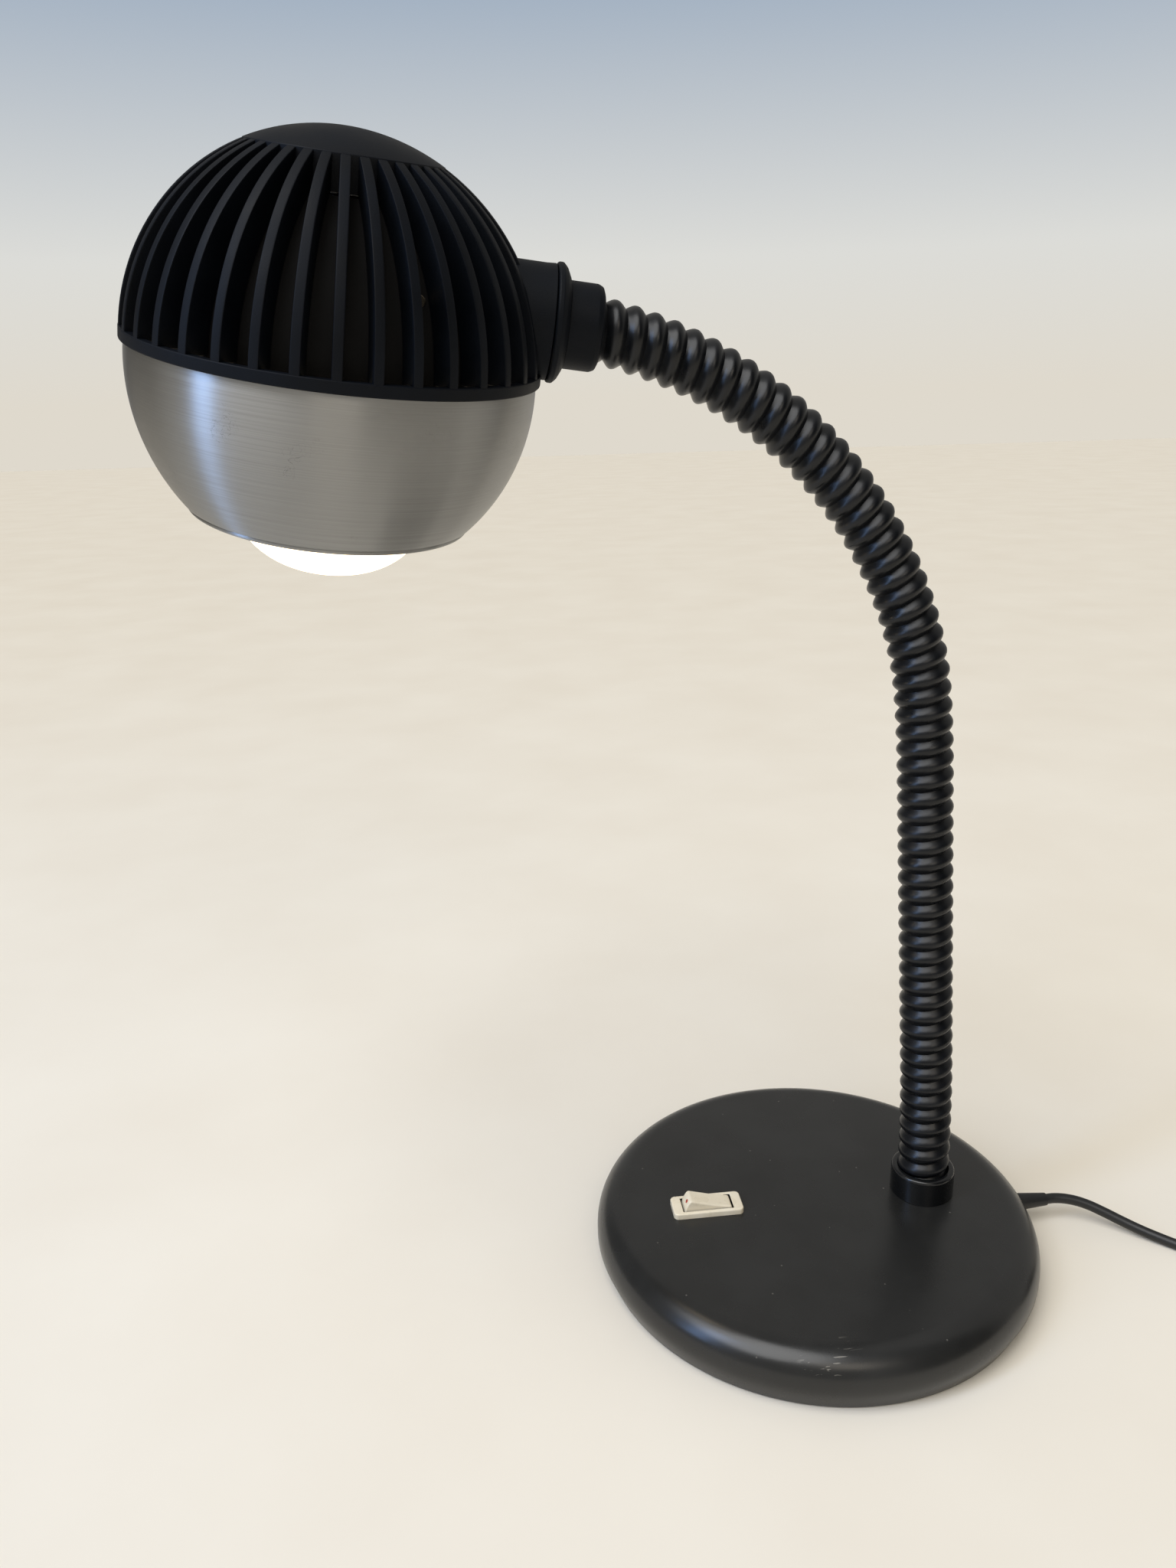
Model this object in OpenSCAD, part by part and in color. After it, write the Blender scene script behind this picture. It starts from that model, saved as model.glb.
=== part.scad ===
// Desk lamp with a bendable neck, in millimetres.
// A round weighted base carries a rocker switch and a ribbed gooseneck.
// The gooseneck carries a ball-shaped head: a finned dome above, a spun aluminium bowl below.
// The origin is the middle of the base on the table, +Z up, +X from the switch to the neck.

/* [Base] */
// Largest radius of the base
base_r = 90; // [84:1:110]
// Height of the base's top face above the table
base_h = 22; // [21:0.5:27]
// Radius of the rounding round the top face
base_round = 11.5; // [6:0.5:12]
// How far the side draws in at its lower edge
base_taper = 3; // [1:0.5:5]
// Wall of the base's shell
base_wall = 2; // [1.2:0.1:3]
// Height of the shell's lower edge above the table
shell_lift = 0.8; // [0.4:0.1:1.1]
// Thickness of the closing plate
plate_t = 2; // [1:0.1:2.5]
// Height of the rubber pads
pad_h = 1.2; // [1.2:0.1:2]
// Radius of a rubber pad
pad_r = 7; // [4:0.5:10]
// Distance of the pads from the base's middle
pad_ring = 66; // [56:1:72]
// Distance of the iron weight's edge inside the base's edge
weight_in = 28; // [26:1:30]
// Room between the closing plate and the weight
weight_room = 2.8; // [2:0.1:4]
// Distance of the closing screws from the base's middle
screw_ring = 40; // [30:1:48]
// Radius of a closing screw
screw_r = 1.5; // [1:0.1:2]
// Depth of a closing screw in the weight
screw_depth = 8; // [4:0.5:10]

/* [Switch] */
// Distance of the switch from the base's middle
switch_x = 45; // [43:0.5:50]
// Length of the bezel
bezel_l = 29; // [27:0.5:32]
// Width of the bezel
bezel_w = 12; // [11:0.5:14]
// Height of the bezel above the base
bezel_h = 2.4; // [1.6:0.1:3]
// Width of the bezel's rim beside the rocker
bezel_rim = 1.6; // [1.4:0.1:2]
// Width of the bezel's rim at the rocker's ends
bezel_end = 4; // [3.2:0.1:4.6]
// Depth of the switch's body below the base's top
switch_depth = 12.5; // [11.5:0.5:13.5]
// Tilt of the rocker to either side
rocker_tilt = 13.5; // [8:0.5:14]
// Height of the rocker's middle above the bezel when it lies level
rocker_proud = 2; // [1.8:0.1:2.6]
// Slope of the rocker's two flats towards its middle
rocker_dip = 2; // [1:0.5:4]
// Radius of the rocker's pins
rocker_pin_r = 1.2; // [0.8:0.1:1.4]

/* [Neck] */
// Distance of the neck from the base's middle
neck_x = 46.8; // [42:0.2:48]
// Turn of the neck's plane away from the base's long line
neck_yaw = 1; // [-10:1:20]
// Spacing of the ribs
rib_pitch = 6.5; // [6.2:0.05:7]
// Radius over the ribs
rib_r = 9.9; // [9.6:0.05:10]
// Radius between the ribs
valley_r = 8.4; // [8.2:0.05:8.7]
// Bore of the ribbed sleeve, as a radius
sleeve_bore_r = 7.6; // [7.5:0.05:7.8]
// Lean of the lower neck from upright
neck_lean = 4.2; // [0:0.2:8]
// Bend from one straight run of the neck's arc to the next
neck_bend = 9.7; // [7:0.1:10]
// Radius of the steel core between its balls
core_r = 5; // [4:0.1:5.2]
// Radius of the core's balls
ball_r = 6.4; // [6.1:0.05:6.5]
// Radius of the core's cups
cup_r = 7.3; // [7.1:0.05:7.35]
// Radius of the way for the leads
lead_bore_r = 2.6; // [2.2:0.1:3]
// Radius of the collar on the base
collar_r = 12.8; // [12:0.1:15]
// Height of the collar on the base
collar_h = 11.5; // [9:0.5:16]
// Radius of the threaded tubes that hold the neck
nipple_r = 5; // [4.2:0.1:5.4]

/* [Head] */
// Radius of the ball-shaped head
head_r = 64.2; // [61:0.1:65]
// Height of the swivel's axis above the ball's middle
boss_h = 18.6; // [18.4:0.1:22]
// Distance of the neck's last bend from the boss's face
neck_tip = 15.5; // [15.1:0.1:22]
// Turn of the head on its swivel
head_turn = 10; // [-30:1:30]
// Radius of the boss at the dome
boss_r = 17.2; // [14:0.1:17.6]
// Distance of the boss's face outside the ball
boss_out = 1.1; // [0.9:0.1:2.8]
// Radius of the swivel's ring
ring_r = 18; // [17.6:0.1:19]
// Thickness of the swivel's ring
ring_t = 4.5; // [3:0.1:5]
// Radius of the ferrule round the neck's end
ferrule_r = 13.2; // [12.8:0.1:15]
// Length of the ferrule
ferrule_len = 11.2; // [10:0.1:11.8]
// Number of fins
fin_count = 36; // [24:2:44]
// Thickness of a fin
fin_t = 3; // [1.4:0.1:3.4]
// Depth of a fin
fin_depth = 8.5; // [7:0.1:9]
// Height of the plain band under the fins
band_h = 3.6; // [2.6:0.1:5]
// Radius of the dome's closed cap
cap_r = 29.2; // [26:0.1:32]
// Wall of the closed cap
cap_wall = 2.6; // [1.6:0.1:3.2]
// Wall of the bowl
bowl_wall = 1; // [0.7:0.1:1.2]
// Depth of the bowl's mouth below the ball's middle
mouth_depth = 49; // [45:0.5:51]
// Radius of the bowl's side
bowl_round = 64; // [60:0.5:76]
// Depth of the middle of the bowl's side arc below the ball's middle
bowl_drop = 5; // [0:0.5:8]
// Distance of the bowl's upper edge inside the ball
bowl_in = 1.4; // [0.8:0.1:1.6]
// Wall of the heat shield
shield_wall = 0.8; // [0.5:0.1:1]

/* [Bulb] */
// Radius of the bulb's cap
cap_thread_r = 13.2; // [12.9:0.1:13.3]
// Largest radius of the bulb
bulb_r = 32; // [29:0.5:33]
// Depth of the bulb's tip below the ball's middle
bulb_tip = 68.5; // [64:0.5:71]
// Wall of the bulb's glass
glass_wall = 0.9; // [0.6:0.1:1.2]
// Outer radius of the lampholder
holder_r = 18.5; // [17:0.5:20]

/* [Cord] */
// Radius of the cord
cord_r = 2.1; // [1.8:0.1:2.2]
// Height of the cord's way out above the table
cord_z = 10; // [9.5:0.5:11.5]
// Length of the strain relief outside the shell
relief_out = 13; // [10:1:15]
// Distance from turn to turn in the coil
coil_step = 4.8; // [4.7:0.05:5]
// Outer radius of the coil at the middle of the cord
coil_r = 30; // [28:0.5:32]
// Whole turns in the coil, over its four layers
coil_whole_turns = 11; // [7:1:12]

/* [Hidden] */
$fn = 48;
SLEEVES = [for (i = [0:8]) str("neck_sleeve_", i)];
CORES = [for (i = [0:8]) str("neck_core_", i)];

// Clearances: a sliding fit, a running gap, and the gap of a ball in its cup
fit = 0.06;
run_gap = 0.25;
ball_gap = 0.3;
eps = 0.01;

// Heights in the base
plate_z = pad_h;
weight_r = base_r - weight_in;
weight_z = plate_z + plate_t + weight_room;
roof_z = base_h - base_wall;
foot_r = base_r - base_taper;
side_z = 8;
screw_boss_r = 5;
screw_head_r = 2 * screw_r;
screw_head_h = 1.4;
SCREW_ANGLES = [90, 210, 330];
PAD_ANGLES = [45, 135, 225, 315];

// The neck's nut under the weight
washer_t = 1.5;
nut_h = 5;
nut_r = 8.5;
nut_pocket_r = 11;
nut_z = weight_z + 1;
pocket_roof = nut_z + nut_h + washer_t;
nipple_top = base_h + 6.5;

// The switch
opening_l = bezel_l - 2 * bezel_end;
opening_w = bezel_w - 2 * bezel_rim;
rocker_clear = 0.4;
rocker_l = opening_l - 2 * rocker_clear;
rocker_w = opening_w - 2 * rocker_clear;
pivot_sink = 0.2;
pivot_z = base_h - pivot_sink;
rocker_skirt = 3.2;
bezel_lip = 0.7;
body_l = bezel_l - 2 * bezel_lip;
body_w = bezel_w - 2 * bezel_lip;
body_wall = (body_w - opening_w) / 2;
body_z = base_h - switch_depth;
cavity_depth = 9;
pin_hole_reach = 1.7 * body_wall;
pin_reach = 1.3 * body_wall;
terminal_drop = 3.2;
terminal_l = 5;
terminal_t = 0.8;
terminal_x = 7;

// Ribs in each straight run of each neck segment: a second run follows a fixed bend
RIBS = [[5], [9], [9], [10], [4, 4], [4], [4], [4, 4], [4, 2]];
LAST = len(RIBS) - 1;
// Bend at the joint under each segment
BENDS = [0, neck_lean, 0, 0, neck_bend, neck_bend, neck_bend, neck_bend, neck_bend];
valley_flat = 1.8;
rib_flank = 1.5;
joint_gap = 1.9;
cup_rim = 1;
cup_h = 9;
socket_h = 8;
socket_depth = 4;
cup_floor = 2.4;
cup_room = 0.4;
collar_rim = 1.2;
ferrule_rim = 2.2;
sleeve_foot = cup_floor + 0.2;
core_foot = cup_floor + 0.2;

function run_len(i, j) = RIBS[i][j] * rib_pitch;
function has_bend(i) = len(RIBS[i]) > 1;
function heading(a) = [sin(a), 0, cos(a)];
function seg_angle(i) =
    i == 0 ? 0 : seg_angle(i - 1) + (has_bend(i - 1) ? neck_bend : 0) + BENDS[i];
function seg_knee(i) = seg_point(i) + run_len(i, 0) * heading(seg_angle(i));
function seg_end(i) =
    has_bend(i) ? seg_knee(i) + run_len(i, 1) * heading(seg_angle(i) + neck_bend) : seg_knee(i);
function seg_point(i) = i == 0 ? [0, 0, base_h] : seg_end(i - 1);

// The swivel, along its axis from the head's axis out to the neck
boss_len = 17.3;
boss_reach = head_r + boss_out;
boss_root = boss_reach - boss_len;
head_reach = boss_reach + neck_tip;
boss_angle = seg_angle(LAST) + neck_bend;
boss_point = seg_knee(LAST) + head_reach * heading(boss_angle);
boss_flare = 3;
ring_rim = 2.6;
ring_face = boss_reach + run_gap;
ferrule_face = ring_face + ring_t;
swivel_washer_t = 1.5;
swivel_nut_t = 4.5;
swivel_nut_r = 8.5;
swivel_nut_face = boss_root - run_gap - swivel_washer_t;
swivel_tube_start = swivel_nut_face - swivel_nut_t - 1.5;
swivel_tube_end = ferrule_face + cup_floor + socket_depth - fit;
tip_core = head_reach - ferrule_face - cup_floor - 0.2;

// The dome, the shield and the bowl
fin_in = head_r - fin_depth;
fin_sink = 0.15;
cap_rim = 3;
band_t = 3;
band_in = head_r - band_t;
seam = 0.2;
fin_phase = 4.2;
pillar_r = 11;
bracket_t = 1.5;
bracket_r = 13;
holder_top = 46.5;
pillar_face = holder_top + bracket_t;
holder_stub_r = 4.9;
holder_stub_h = 4;
bracket_screw_r = 1.4;
bracket_screw_at = 8.4;
bracket_screw_l = 6;
bracket_head_h = 1.2;
shield_r = fin_in - 0.1;
shield_foot = 0.8;
shield_top = 46.5;
vent_r = 1.6;
VENTS = [[-118, 24], [-96, 30], [-60, 24], [60, 24], [96, 30], [118, 24]];
lip_r = band_in - 0.15;
lip_room = 0.4;
lip_top = min(band_h - 1.4, boss_h - boss_r - lip_room);
lip_drop = 4;
bead_r = 0.9;
bowl_top_r = head_r - bowl_in;
bowl_x = bowl_top_r - sqrt(pow(bowl_round, 2) - pow(bowl_drop, 2));
mouth_r = bowl_x + sqrt(pow(bowl_round, 2) - pow(mouth_depth - bowl_drop, 2));

// The bulb and its holder, as heights above the ball's middle
thread_r = cap_thread_r + 0.25;
sleeve_wall = 0.7;
sleeve_low = 12;
sleeve_high = 34;
bulb_cap_low = 12.5;
bulb_cap_high = 33.5;
bulb_tip_high = 38;
cap_shoulder = 36;
insulator_r = 4.5;
cap_skin = 0.6;
holder_low = 9;
holder_shoulder = 38.5;
holder_roof = 40;
holder_crown = holder_top - 3;
holder_neck_r = 14.6;
neck_glass_r = cap_thread_r - 0.7;
glass_top = 18;
shoulder_z = -45;
flare_steps = 8;
crown_steps = 8;

// The cord: its way through the shell, its points by hand, and the coil
relief_in = 7;
relief_flange_r = 6;
relief_flange_t = 2;
relief_r = 3.5;
relief_tip_r = cord_r + 0.5;
relief_end = base_r + relief_out;
relief_start = base_r - relief_in;
clamp_x = weight_r + 8;
clamp_l = 7;
clamp_w = 19;
clamp_h = cord_z + cord_r + 3;
clamp_screw_y = 6.2;
clamp_screw_r = 1.3;
cord_start = clamp_x - 5.5;
coil_at = [206, -30.5];
coil_z = 2.9;
coil_turns = (coil_whole_turns + 0.25) / 4;
coil_entry = coil_at.y - coil_r;
cord_d = 2 * cord_r;
FREE = [
    [relief_end, 0, cord_z], [relief_end + 4, 0, cord_z], [113, -1.3, 9.7], [119, -3.8, 8.7], [125, -7.6, 7],
    [131, -12, 5.1], [137, -16.8, 3.6], [143, -21.8, 2.7], [149, -27, cord_r + 0.1], [155, -33, cord_r],
    [161.3, -39.6, cord_r], [168.3, -46.3, cord_r], [176, -52.3, cord_r + 0.1], [184, -56.8, 2.5],
    [191, -59.4, 2.8], [coil_at.x - cord_d - 3, coil_entry, coil_z], [coil_at.x - cord_d, coil_entry, coil_z]
];
coil_rings = 24;
coil_sides = 6;
coil_span = 4 * coil_turns * 360;
coil_top = coil_z + 3 * coil_step;
plug_axis_z = 6.8;
plug_x = coil_at.x + coil_r;
tail_start = coil_at.y + cord_d;
plug_start = 28;
TAIL = [
    [plug_x, tail_start, coil_top], [plug_x, tail_start + 3, coil_top], [plug_x, -15, 16.3],
    [plug_x, -6, 14.2], [plug_x, 3, 11.5], [plug_x, 12, 9], [plug_x, 19, 7.4],
    [plug_x, plug_start - 3, plug_axis_z], [plug_x, plug_start, plug_axis_z]
];
tie_t = 0.6;
tie_w = 7;
tie_room = 0.3;

plug_relief = 13;
plug_l = 26;
plug_w = 26;
plug_back_w = 12;
plug_t = 2 * plug_axis_z;
plug_face = plug_start + plug_relief + plug_l;
pin_r = 2;
pin_l = 19;
pin_seat = 9;
pin_apart = 18.6;

// Leads
lead_r = 0.8;
lead_sides = 6;
lead_z = plate_z + plate_t + lead_r + 0.3;
lead_gap = 1.1;
lead_clear = 0.6;

lead_top = holder_shoulder + 0.5;
lead_end = 5.75;
// From beside the lampholder at zero to the swivel tube's mouth at one
function lead_x(t) = (holder_r + 0.5) * (1 - t) + swivel_tube_start * t;

function unit(v) = v / norm(v);
function along(path, i) = unit(path[min(i + 1, len(path) - 1)] - path[max(i - 1, 0)]);
// The side of a ring: level where the path lies, along +X where it stands upright
function ring_side(t) = norm([t.x, t.y]) > 0.05 ? unit([t.y, -t.x, 0]) : [1, 0, 0];
function ring(p, t, r, n) =
    let (s = ring_side(t), u = cross(s, t))
    [for (k = [0:n - 1]) p + r * (cos(360 * k / n) * s + sin(360 * k / n) * u)];

// One closed tube of n sides along a path, with flat ends
module tube(path, r, n) {
    m = len(path);
    points = [for (i = [0:m - 1]) each ring(path[i], along(path, i), r, n)];
    walls = [for (i = [0:m - 2], k = [0:n - 1])
        let (a = i * n + k, b = i * n + (k + 1) % n)
        each [[a, a + n, b], [b, a + n, b + n]]];
    first = [for (k = [1:n - 2]) [0, k, k + 1]];
    last = [for (k = [1:n - 2]) [(m - 1) * n, (m - 1) * n + k + 1, (m - 1) * n + k]];
    polyhedron(points = points, faces = concat(walls, first, last));
}

// Places in the neck and the head
module in_neck_plane() translate([neck_x, 0, 0]) rotate([0, 0, 180 + neck_yaw]) children();
module at_segment(i)
    in_neck_plane() translate(seg_point(i)) rotate([0, seg_angle(i), 0]) children();
module at_knee(i) translate([0, 0, run_len(i, 0)]) rotate([0, neck_bend, 0]) children();
// The swivel's axis lies along +X here, with the head's axis at zero
module on_boss_axis()
    in_neck_plane() translate(boss_point) rotate([0, 0, 180]) rotate([0, 90 - boss_angle, 0]) children();
module in_head() on_boss_axis() rotate([head_turn, 0, 0]) translate([0, 0, -boss_h]) children();
module along_x(x) translate([x, 0, 0]) rotate([0, 90, 0]) children();

// The base's outline from the middle out, drawn in by a wall
module base_outline(wall) {
    top = base_h - wall;
    side = base_r - wall;
    bend = base_round - wall;
    union() {
        polygon([
            [0, shell_lift], [foot_r - wall, shell_lift], [side, side_z],
            [side, top - bend], [side - bend, top - bend], [side - bend, top], [0, top]
        ]);
        intersection() {
            translate([side - bend, top - bend]) circle(r = bend);
            translate([side - bend, top - bend]) square(bend);
        }
    }
}

module base_shell() color("#171718") difference() {
    rotate_extrude($fn = 96) base_outline(0);
    rotate_extrude($fn = 96) base_outline(base_wall);
    translate([0, 0, shell_lift - 1]) cylinder(r = foot_r - base_wall, h = 1 + eps, $fn = 96);
    translate([neck_x, 0, roof_z - 1]) cylinder(r = nipple_r + fit, h = base_wall + 2);
    translate([-switch_x, 0, base_h])
        cube([body_l + 2 * fit, body_w + 2 * fit, 4 * base_wall], center = true);
    along_x(relief_start) translate([-cord_z, 0, 0]) cylinder(r = relief_r + fit, h = 2 * relief_in);
}

module base_weight() color("#3a3a3c") difference() {
    union() {
        translate([0, 0, weight_z]) cylinder(r = weight_r, h = roof_z - weight_z, $fn = 96);
        for (a = SCREW_ANGLES)
            rotate([0, 0, a]) translate([screw_ring, 0, plate_z + plate_t])
                cylinder(r = screw_boss_r, h = weight_room + 1);
    }
    translate([neck_x, 0, weight_z - 1]) cylinder(r = nut_pocket_r, h = pocket_roof - weight_z + 1);
    translate([neck_x, 0, weight_z - 1]) cylinder(r = nipple_r + 0.3, h = roof_z);
    translate([-weight_r - 5, -body_w / 2 - 2, weight_z - 1])
        cube([weight_r + 5 - switch_x + body_l / 2 + 2, body_w + 4, roof_z]);
    for (a = SCREW_ANGLES)
        rotate([0, 0, a]) translate([screw_ring, 0, plate_z])
            cylinder(r = screw_r + fit, h = plate_t + screw_depth + 1);
}

module base_plate() color("#8f9194") difference() {
    translate([0, 0, plate_z]) cylinder(r = foot_r - base_wall - 0.4, h = plate_t, $fn = 96);
    for (a = SCREW_ANGLES) rotate([0, 0, a]) translate([screw_ring, 0, 0]) {
        cylinder(r = screw_r + fit, h = 3 * plate_t);
        cylinder(r = screw_head_r + 0.3, h = plate_z + screw_head_h / 2);
    }
    for (y = [-clamp_screw_y, clamp_screw_y])
        translate([clamp_x, y, 0]) cylinder(r = clamp_screw_r + fit, h = 3 * plate_t);
}

// One pad in the middle and one near each quarter
module foot_pads() color("#1c1c1c") {
    cylinder(r = pad_r, h = pad_h);
    for (a = PAD_ANGLES)
        rotate([0, 0, a]) translate([pad_ring, 0, 0]) cylinder(r = pad_r, h = pad_h);
}

module base_screws() color("#b9bbbd")
    for (a = SCREW_ANGLES) rotate([0, 0, a]) translate([screw_ring, 0, 0]) {
        head_z = plate_z + screw_head_h / 2;
        difference() {
            translate([0, 0, head_z - screw_head_h + 0.2])
                cylinder(r = screw_head_r, h = screw_head_h - 0.2);
            translate([0, 0, head_z - screw_head_h])
                cube([0.8, 3 * screw_head_r, screw_head_h], center = true);
        }
        translate([0, 0, head_z - eps]) cylinder(r = screw_r, h = plate_t + screw_depth - screw_head_h);
    }

module switch_body() color("#efe9d8") translate([-switch_x, 0, 0]) difference() {
    union() {
        translate([-bezel_l / 2, -bezel_w / 2, base_h]) cube([bezel_l, bezel_w, bezel_h]);
        translate([-body_l / 2, -body_w / 2, body_z]) cube([body_l, body_w, switch_depth + eps]);
    }
    translate([-opening_l / 2, -opening_w / 2, base_h - cavity_depth])
        cube([opening_l, opening_w, cavity_depth + bezel_h + 1]);
    translate([0, 0, pivot_z]) rotate([90, 0, 0])
        cylinder(r = rocker_pin_r + fit, h = opening_w + pin_hole_reach, center = true, $fn = 32);
    for (x = [-terminal_x, terminal_x])
        translate([x, 0, body_z])
            cube([terminal_t + 2 * fit, terminal_l + 2 * fit, 3 * switch_depth], center = true);
}

// The rocker: two flats that meet in a shallow trough, with round ends about its pins
module switch_rocker() color("#f6f1e3")
    translate([-switch_x, 0, pivot_z]) rotate([0, rocker_tilt, 0]) {
        trough = base_h + bezel_h - pivot_z + rocker_proud;
        flat_end = trough + rocker_l * tan(rocker_dip);
        rotate([90, 0, 0]) linear_extrude(rocker_w, center = true) intersection() {
            circle(r = rocker_l / 2, $fn = 96);
            polygon([
                [-rocker_l, -rocker_skirt], [rocker_l, -rocker_skirt],
                [rocker_l, flat_end], [0, trough], [-rocker_l, flat_end]
            ]);
        }
        rotate([90, 0, 0])
            cylinder(r = rocker_pin_r, h = opening_w + pin_reach, center = true, $fn = 32);
    }

module switch_terminals() color("#c9a45c") translate([-switch_x, 0, 0])
    for (x = [-terminal_x, terminal_x]) {
        top = base_h - cavity_depth + 1;
        translate([x - terminal_t / 2, -terminal_l / 2, body_z - terminal_drop])
            cube([terminal_t, terminal_l, top - body_z + terminal_drop]);
    }

// A round cup for the neck's end, with a threaded tube through its floor and a rounded rim
module neck_cup(r, h, bore, rim) difference() {
    rotate_extrude($fn = 64) polygon([
        [0, 0], [r, 0], [r, h - rim], [r - 0.3 * rim, h - 0.3 * rim], [r - rim, h],
        [bore, h], [bore, cup_floor], [0, cup_floor]
    ]);
    translate([0, 0, -1]) cylinder(r = nipple_r + fit, h = h);
}

module neck_collar() color("#101011")
    translate([neck_x, 0, base_h]) neck_cup(collar_r, collar_h, rib_r + cup_room, collar_rim);

module neck_nipple() color("#c8b27a") translate([neck_x, 0, weight_z]) difference() {
    cylinder(r = nipple_r, h = nipple_top - weight_z);
    translate([0, 0, -1]) cylinder(r = lead_bore_r, h = nipple_top);
}

module neck_washer() color("#b9bbbd") translate([neck_x, 0, nut_z + nut_h]) difference() {
    cylinder(r = nut_pocket_r - 1, h = washer_t);
    translate([0, 0, -1]) cylinder(r = nipple_r + fit, h = washer_t + 2);
}

module hex_nut(r, h) difference() {
    cylinder(r = r, h = h, $fn = 6);
    translate([0, 0, -1]) cylinder(r = nipple_r + fit, h = h + 2);
}

module neck_nut() color("#b9bbbd") translate([neck_x, 0, nut_z]) hex_nut(nut_r, nut_h);

// One straight run of the ribbed sleeve, from the axis out, with a valley at either end
module rib_run(n, low, high) rotate_extrude($fn = 48) intersection() {
    polygon(concat(
        [[0, 0], [valley_r, 0]],
        [for (k = [0:n - 1]) each [
            [valley_r, k * rib_pitch + valley_flat / 2],
            [rib_r, k * rib_pitch + valley_flat / 2 + rib_flank],
            [rib_r, (k + 1) * rib_pitch - valley_flat / 2 - rib_flank],
            [valley_r, (k + 1) * rib_pitch - valley_flat / 2]
        ]],
        [[valley_r, n * rib_pitch], [0, n * rib_pitch]]
    ));
    translate([0, low]) square([2 * rib_r, high - low]);
}

// A neck segment's sleeve: one run, or two runs that meet at a fixed bend
module neck_sleeve(i) color("#141415") at_segment(i) {
    low = i == 0 ? sleeve_foot : joint_gap;
    far = i == LAST ? tip_core - 0.1 : has_bend(i) ? run_len(i, 1) - joint_gap : 0;
    difference() {
        union() {
            rib_run(RIBS[i][0], low, has_bend(i) ? run_len(i, 0) : run_len(i, 0) - joint_gap);
            if (has_bend(i)) {
                at_knee(i) rib_run(RIBS[i][1], 0, far);
                translate([0, 0, run_len(i, 0)]) sphere(r = valley_r + 0.25);
            }
        }
        translate([0, 0, -1]) cylinder(r = sleeve_bore_r, h = run_len(i, 0) + (has_bend(i) ? 1 : 2));
        if (has_bend(i)) {
            at_knee(i) translate([0, 0, -1]) cylinder(r = sleeve_bore_r, h = run_len(i, 1) + 2);
            translate([0, 0, run_len(i, 0)]) sphere(r = sleeve_bore_r + 0.15);
        }
    }
}

// The core's socket on a threaded tube, open at its low end
module core_socket() difference() {
    cylinder(r = cup_r, h = socket_h);
    translate([0, 0, -1]) cylinder(r = nipple_r + fit, h = socket_depth + 1);
}

// A neck segment's core: a cup under it, a ball on it, a way for the leads through both
module neck_core(i) color("#8d8f92") at_segment(i) {
    top = has_bend(i) ? run_len(i, 1) : run_len(i, 0);
    difference() {
        union() {
            if (i == 0) translate([0, 0, core_foot]) core_socket();
            else difference() {
                translate([0, 0, cup_rim]) cylinder(r = cup_r, h = cup_h - cup_rim);
                sphere(r = ball_r + ball_gap);
            }
            low = i == 0 ? core_foot + socket_depth : cup_h - 1.5;
            translate([0, 0, low]) cylinder(r = core_r, h = run_len(i, 0) - low);
            if (has_bend(i)) {
                translate([0, 0, run_len(i, 0)]) sphere(r = core_r + 0.2);
                at_knee(i) cylinder(r = core_r, h = i == LAST ? tip_core - socket_depth : run_len(i, 1));
            }
            if (i == LAST) at_knee(i) translate([0, 0, tip_core]) mirror([0, 0, 1]) core_socket();
            else if (has_bend(i)) at_knee(i) translate([0, 0, top]) sphere(r = ball_r);
            else translate([0, 0, top]) sphere(r = ball_r);
        }
        translate([0, 0, -1]) cylinder(r = lead_bore_r, h = run_len(i, 0) + (has_bend(i) ? 1 : 20));
        if (has_bend(i)) {
            translate([0, 0, run_len(i, 0)]) sphere(r = lead_bore_r + 0.1);
            at_knee(i) cylinder(r = lead_bore_r, h = run_len(i, 1) + 20);
        }
    }
}

module neck_ferrule() color("#101011") on_boss_axis()
    along_x(ferrule_face) neck_cup(ferrule_r, ferrule_len, rib_r + cup_room, ferrule_rim);

module swivel_ring() color("#161617") on_boss_axis() along_x(ring_face) difference() {
    rotate_extrude($fn = 96) polygon([
        [0, 0], [ring_r - 0.5, 0], [ring_r, 0.5], [ring_r, ring_t - ring_rim],
        [ring_r - ring_rim / 2, ring_t - ring_rim / 2], [ring_r - 1.5 * ring_rim, ring_t], [0, ring_t]
    ]);
    translate([0, 0, -1]) cylinder(r = nipple_r + fit, h = ring_t + 2);
}

module swivel_tube() color("#c8b27a") on_boss_axis() along_x(swivel_tube_start) difference() {
    cylinder(r = nipple_r, h = swivel_tube_end - swivel_tube_start);
    translate([0, 0, -1]) cylinder(r = lead_bore_r + 0.4, h = head_reach);
}

module swivel_washer() color("#b9bbbd") on_boss_axis() along_x(swivel_nut_face) difference() {
    cylinder(r = swivel_nut_r + 1, h = swivel_washer_t);
    translate([0, 0, -1]) cylinder(r = nipple_r + fit, h = swivel_washer_t + 2);
}

module swivel_nut() color("#b9bbbd") on_boss_axis()
    along_x(swivel_nut_face - swivel_nut_t) hex_nut(swivel_nut_r, swivel_nut_t);

// The dome: a band, upright fins, a closed cap with a pillar for the lampholder, and the swivel's boss
module fin() rotate([90, 0, 0]) linear_extrude(fin_t, center = true) intersection() {
    difference() {
        circle(r = head_r - fin_sink, $fn = 180);
        circle(r = fin_in, $fn = 180);
    }
    translate([cap_r - 1, band_h - 0.5]) square(head_r);
}

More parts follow.
